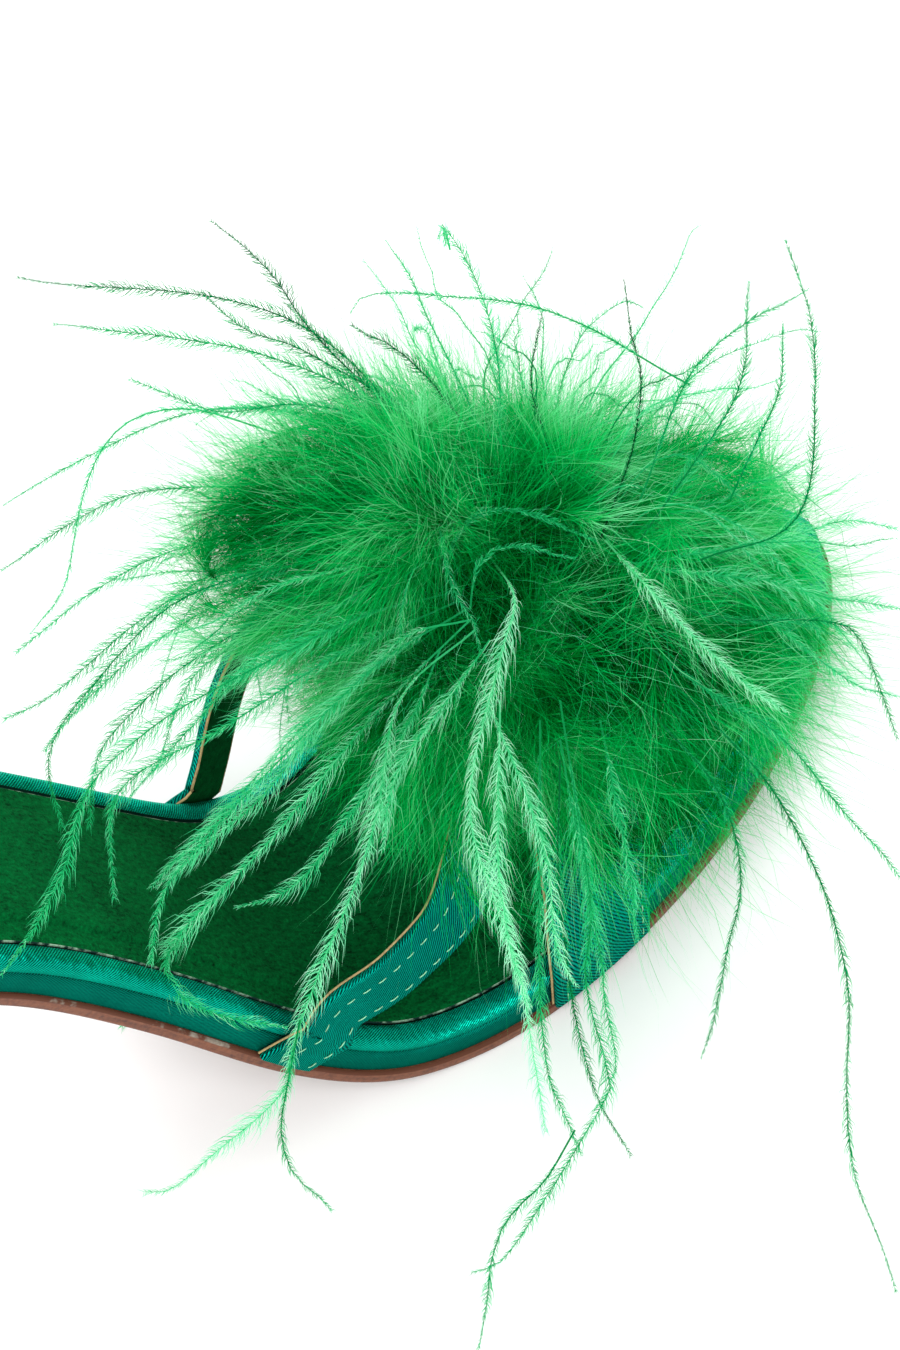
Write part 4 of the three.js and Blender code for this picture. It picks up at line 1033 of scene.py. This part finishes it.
def down_batch(name, count, plumes, width, seed):
    """Long soft barbs shed by plumes on both sides."""
    local = np.random.default_rng(seed)
    sweep = Sweep(local, plumes)
    which = local.integers(0, plumes, count)
    share = local.uniform(0.12, 1.0, count) ** 0.85
    root = sweep.place(which, share)
    tangent = unit(sweep.place(which, share + 0.04) - sweep.place(which, share - 0.04))
    normal = unit((root - sweep.centre[which]) / sweep.radii[which] ** 2)
    side = unit(np.cross(tangent, normal))
    turn = local.normal(0.1, 0.55, count)[:, None]
    sign = local.choice([-1.0, 1.0], count)[:, None]
    out = side * sign * np.cos(turn) + normal * np.sin(turn)
    lean = np.radians(np.clip(local.normal(27, 13, count), 3, 75))[:, None]
    size = (local.uniform(7, 19, count) * (0.75 + 0.35 * share))[:, None]
    curl = sweep.curl[which] + local.normal(0, 0.14, (count, 3))
    d0 = unit(tangent * np.cos(lean * 1.3) + out * np.sin(lean * 1.3))
    d1 = unit(tangent * np.cos(lean) + out * np.sin(lean) + curl * 0.7)
    d2 = unit(tangent * np.cos(lean * 0.6) + out * np.sin(lean * 0.6) + normal * 0.1 + curl * 2.0
              - RISE * local.uniform(0, 0.45, (count, 1)))
    spine = chain(root, d0 * size * 0.3, d1 * size * 0.35, d2 * size * 0.35)
    keep = clear(spine)
    spine, d0, d1, d2, share, which = spine[keep], d0[keep], d1[keep], d2[keep], share[keep], which[keep]
    n = len(spine)
    facing = unit(np.cross(np.stack([d0, d0, d1, d2], 1), unit(local.normal(size=(n, 1, 3)))))
    widths = width * np.array([1.0, 0.9, 0.65, 0.2])[None] * local.uniform(0.7, 1.3, (n, 1))
    reach = np.linalg.norm((spine - sweep.centre[which][:, None]) / sweep.radii[which][:, None], axis=-1)
    # Tone: painted shade deeper in the down and near the knot, lighter towards the outside and at the outermost
    # ends, each barb a little darker at its root, random per plume, painted shade on the side facing the
    # camera, then random patches with painted shade in hollows and low down
    tone = 0.46 + 0.85 * (np.clip(reach, 0.5, 1.25) - 0.85) + np.array([-0.08, 0, 0.03, 0.08])[None]
    tone = tone - 0.2 * np.clip(0.35 - share, 0, 1)[:, None] / 0.35 + sweep.tone[which][:, None]
    tone = tone - 0.09 * smoothstep(normal[keep] @ PAINTED_SHADE_SIDE, 0.1, 0.8)[:, None] + 0.35 * np.clip(reach - 1, 0, 0.3)
    tone = np.clip(tone + patches_and_painted_shade(spine) + local.normal(0, 0.06, (n, 1)), 0, 1)
    return ribbons(name, DOWN, spine, facing, widths, tone)


def build_wisps(count):
    """Single curled hairs that lie over the down and stand out of it."""
    local = np.random.default_rng(7)
    sweep = Sweep(local, count)
    sweep.end = local.uniform(0.95, 1.25, count)
    which = np.arange(count)
    first = local.uniform(0.15, 0.8, count)
    run = local.uniform(0.2, 0.5, count)
    steps = 8
    spine = np.stack([sweep.place(which, first + run * k / (steps - 1)) for k in range(steps)], 1)
    share = np.linspace(0, 1, steps)[None, :, None]
    for turns in (1.0, 2.2):
        phase = local.uniform(0, 6.3, (count, 1, 3))
        wave = np.sin(2 * math.pi * turns * share + phase)
        spine = spine + wave * local.normal(0, 1.4, (count, 1, 3)) * share
    spine = spine[clear(spine)]
    n = len(spine)
    heading = unit(np.gradient(spine, axis=1))
    side = unit(np.cross(heading, unit(local.normal(size=(n, 1, 3)))))
    widths = np.linspace(0.11, 0.04, steps)[None] * np.ones((n, 1))
    tone = np.clip(local.normal(0.6, 0.2, (n, 1)) + np.linspace(-0.15, 0.1, steps)[None], 0, 1)
    return ribbons("wisps", STRAND, spine, side, widths, tone)


def ball_grid(centre, radii, share, rings=32, sides=48):
    polar = np.linspace(0.001, math.pi - 0.001, rings)[:, None]
    turn = np.linspace(0, 2 * math.pi, sides + 1)[None]
    direction = np.stack([np.sin(polar) * np.cos(turn), np.sin(polar) * np.sin(turn),
                          np.cos(polar) * np.ones_like(turn)], -1)
    return centre + radii * direction * share


def build_core():
    """Dark heart of the pompom, coloured as painted shade for the inside of the down, hidden by its barbs and
    clear of the foot.
    """
    surface = Surface()
    for centre, radii in ((BALL, BALL_RADII), (TUFT, TUFT_RADII)):
        p = ball_grid(centre, radii, 0.5)
        limit = foot_top(p.reshape(-1, 3)).reshape(p.shape[:2])
        p[..., 2] = np.maximum(p[..., 2], np.minimum(limit + 1.2, centre[2] + radii[2] * 0.46))
        surface.grid(p)
    return surface.piece("pompom_core", DOWN_CORE_SHADE)


# Putting it together
# Hairs over the down, pale ends round it, and the barbs, plumes and barb width of each batch of down
WISPS, HAZE_ENDS = 1500, 18000
BATCH_BARBS, BATCH_PLUMES, BARB_WIDTH = 34000, 150, 0.085


def ride(piece):
    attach(piece, BODY)
    return piece


outsole, glue = build_outsole()
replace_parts(ride(outsole), "outsole")
ride(glue)
wall, rim, seam = build_footbed()
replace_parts(ride(wall), "footbed")
ride(rim)
ride(seam)
sock, piping = build_sock()
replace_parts(ride(sock), "insole")
ride(piping)
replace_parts(ride(build_heel()), "heel")
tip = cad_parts["heel_tip"]
tip.data.materials.clear()
tip.data.materials.append(TIP_RUBBER)

first_strap, first_rows, first_top = build_strap("strap_a", STRAP_FROM_LATERAL_REAR, 0.0)
second_strap, second_rows, second_top = build_strap("strap_b", STRAP_FROM_MEDIAL_REAR, 0.05)
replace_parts(ride(first_strap[0]), "upper")
for piece in first_strap[1:] + second_strap:
    ride(piece)
for label, rows, top in (("a", first_rows, first_top), ("b", second_rows, second_top)):
    for mark, side, narrow in (("front", -1, 1.35), ("rear", 1, 3.0)):
        half = rows[3]
        wide = (half - REAR_STRAP_WIDTH / 2) / (FRONT_STRAP_WIDTH - REAR_STRAP_WIDTH) * 2
        place, normal = strap_frame(rows, side * (half - narrow * (1 - wide) - 2.0 * wide))
        ride(stitches("stitch_%s_%s" % (label, mark), place + normal * (top - 0.03), normal))

strands = ride(build_strands())
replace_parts(strands, "strands")
ride(hidden_strands())
core = ride(build_core())
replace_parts(core, "pompom")
ride(build_wisps(WISPS))
ride(build_haze(HAZE_ENDS))
batches = 4
for number in range(batches):
    ride(down_batch("down_%d" % (number + 1), BATCH_BARBS, BATCH_PLUMES, BARB_WIDTH, 100 + number))


def add_camera():
    data = bpy.data.cameras.new("view")
    data.sensor_fit = "VERTICAL"
    data.sensor_height = 36.0
    data.lens = FOCAL / PICTURE[1] * 36.0
    data.clip_start, data.clip_end = 0.05, 20.0
    camera = show("view", data)
    turned = Matrix((RIGHT, UP, -LOOK)).transposed().to_4x4()
    camera.matrix_world = Matrix.Translation(Vector(EYE * MM)) @ turned
    bpy.context.scene.camera = camera


def add_light(name, place, aim, size, power, tint=(1, 1, 1)):
    data = bpy.data.lights.new(name, "AREA")
    data.shape, data.size, data.energy, data.color = "DISK", size, power, tint
    lamp = show(name, data)
    lamp.location = place
    lamp.rotation_euler = (Vector(aim) - Vector(place)).to_track_quat("-Z", "Y").to_euler()


def add_floor():
    mesh = bpy.data.meshes.new("floor")
    reach = 3.0
    corners = [(-reach, -reach, 0), (reach, -reach, 0), (reach, reach, 0), (-reach, reach, 0)]
    mesh.from_pydata(corners, [], [range(4)])
    n = Nodes("floor_paper")
    mesh.materials.append(n.surface(Base_Color=(0.93, 0.93, 0.93, 1), Roughness=0.9, Specular_IOR_Level=0.1))
    floor = show("floor", mesh)
    floor.location.z = -0.0004


def light_scene():
    world = bpy.data.worlds.new("studio")
    bpy.context.scene.world = world
    world.use_nodes = True
    background = world.node_tree.nodes["Background"]
    background.inputs["Color"].default_value = (1.0, 1.0, 1.0, 1)
    background.inputs["Strength"].default_value = 0.95
    add_light("key", (-0.5, -0.7, 1.1), (0, 0, 0.03), 0.7, 12.0)
    add_light("back", (0.6, 0.8, 0.9), (0, 0, 0.03), 0.8, 9.0)
    bpy.context.scene.view_settings.view_transform = "Standard"
    bpy.context.scene.view_settings.look = "None"


add_camera()
add_floor()
light_scene()
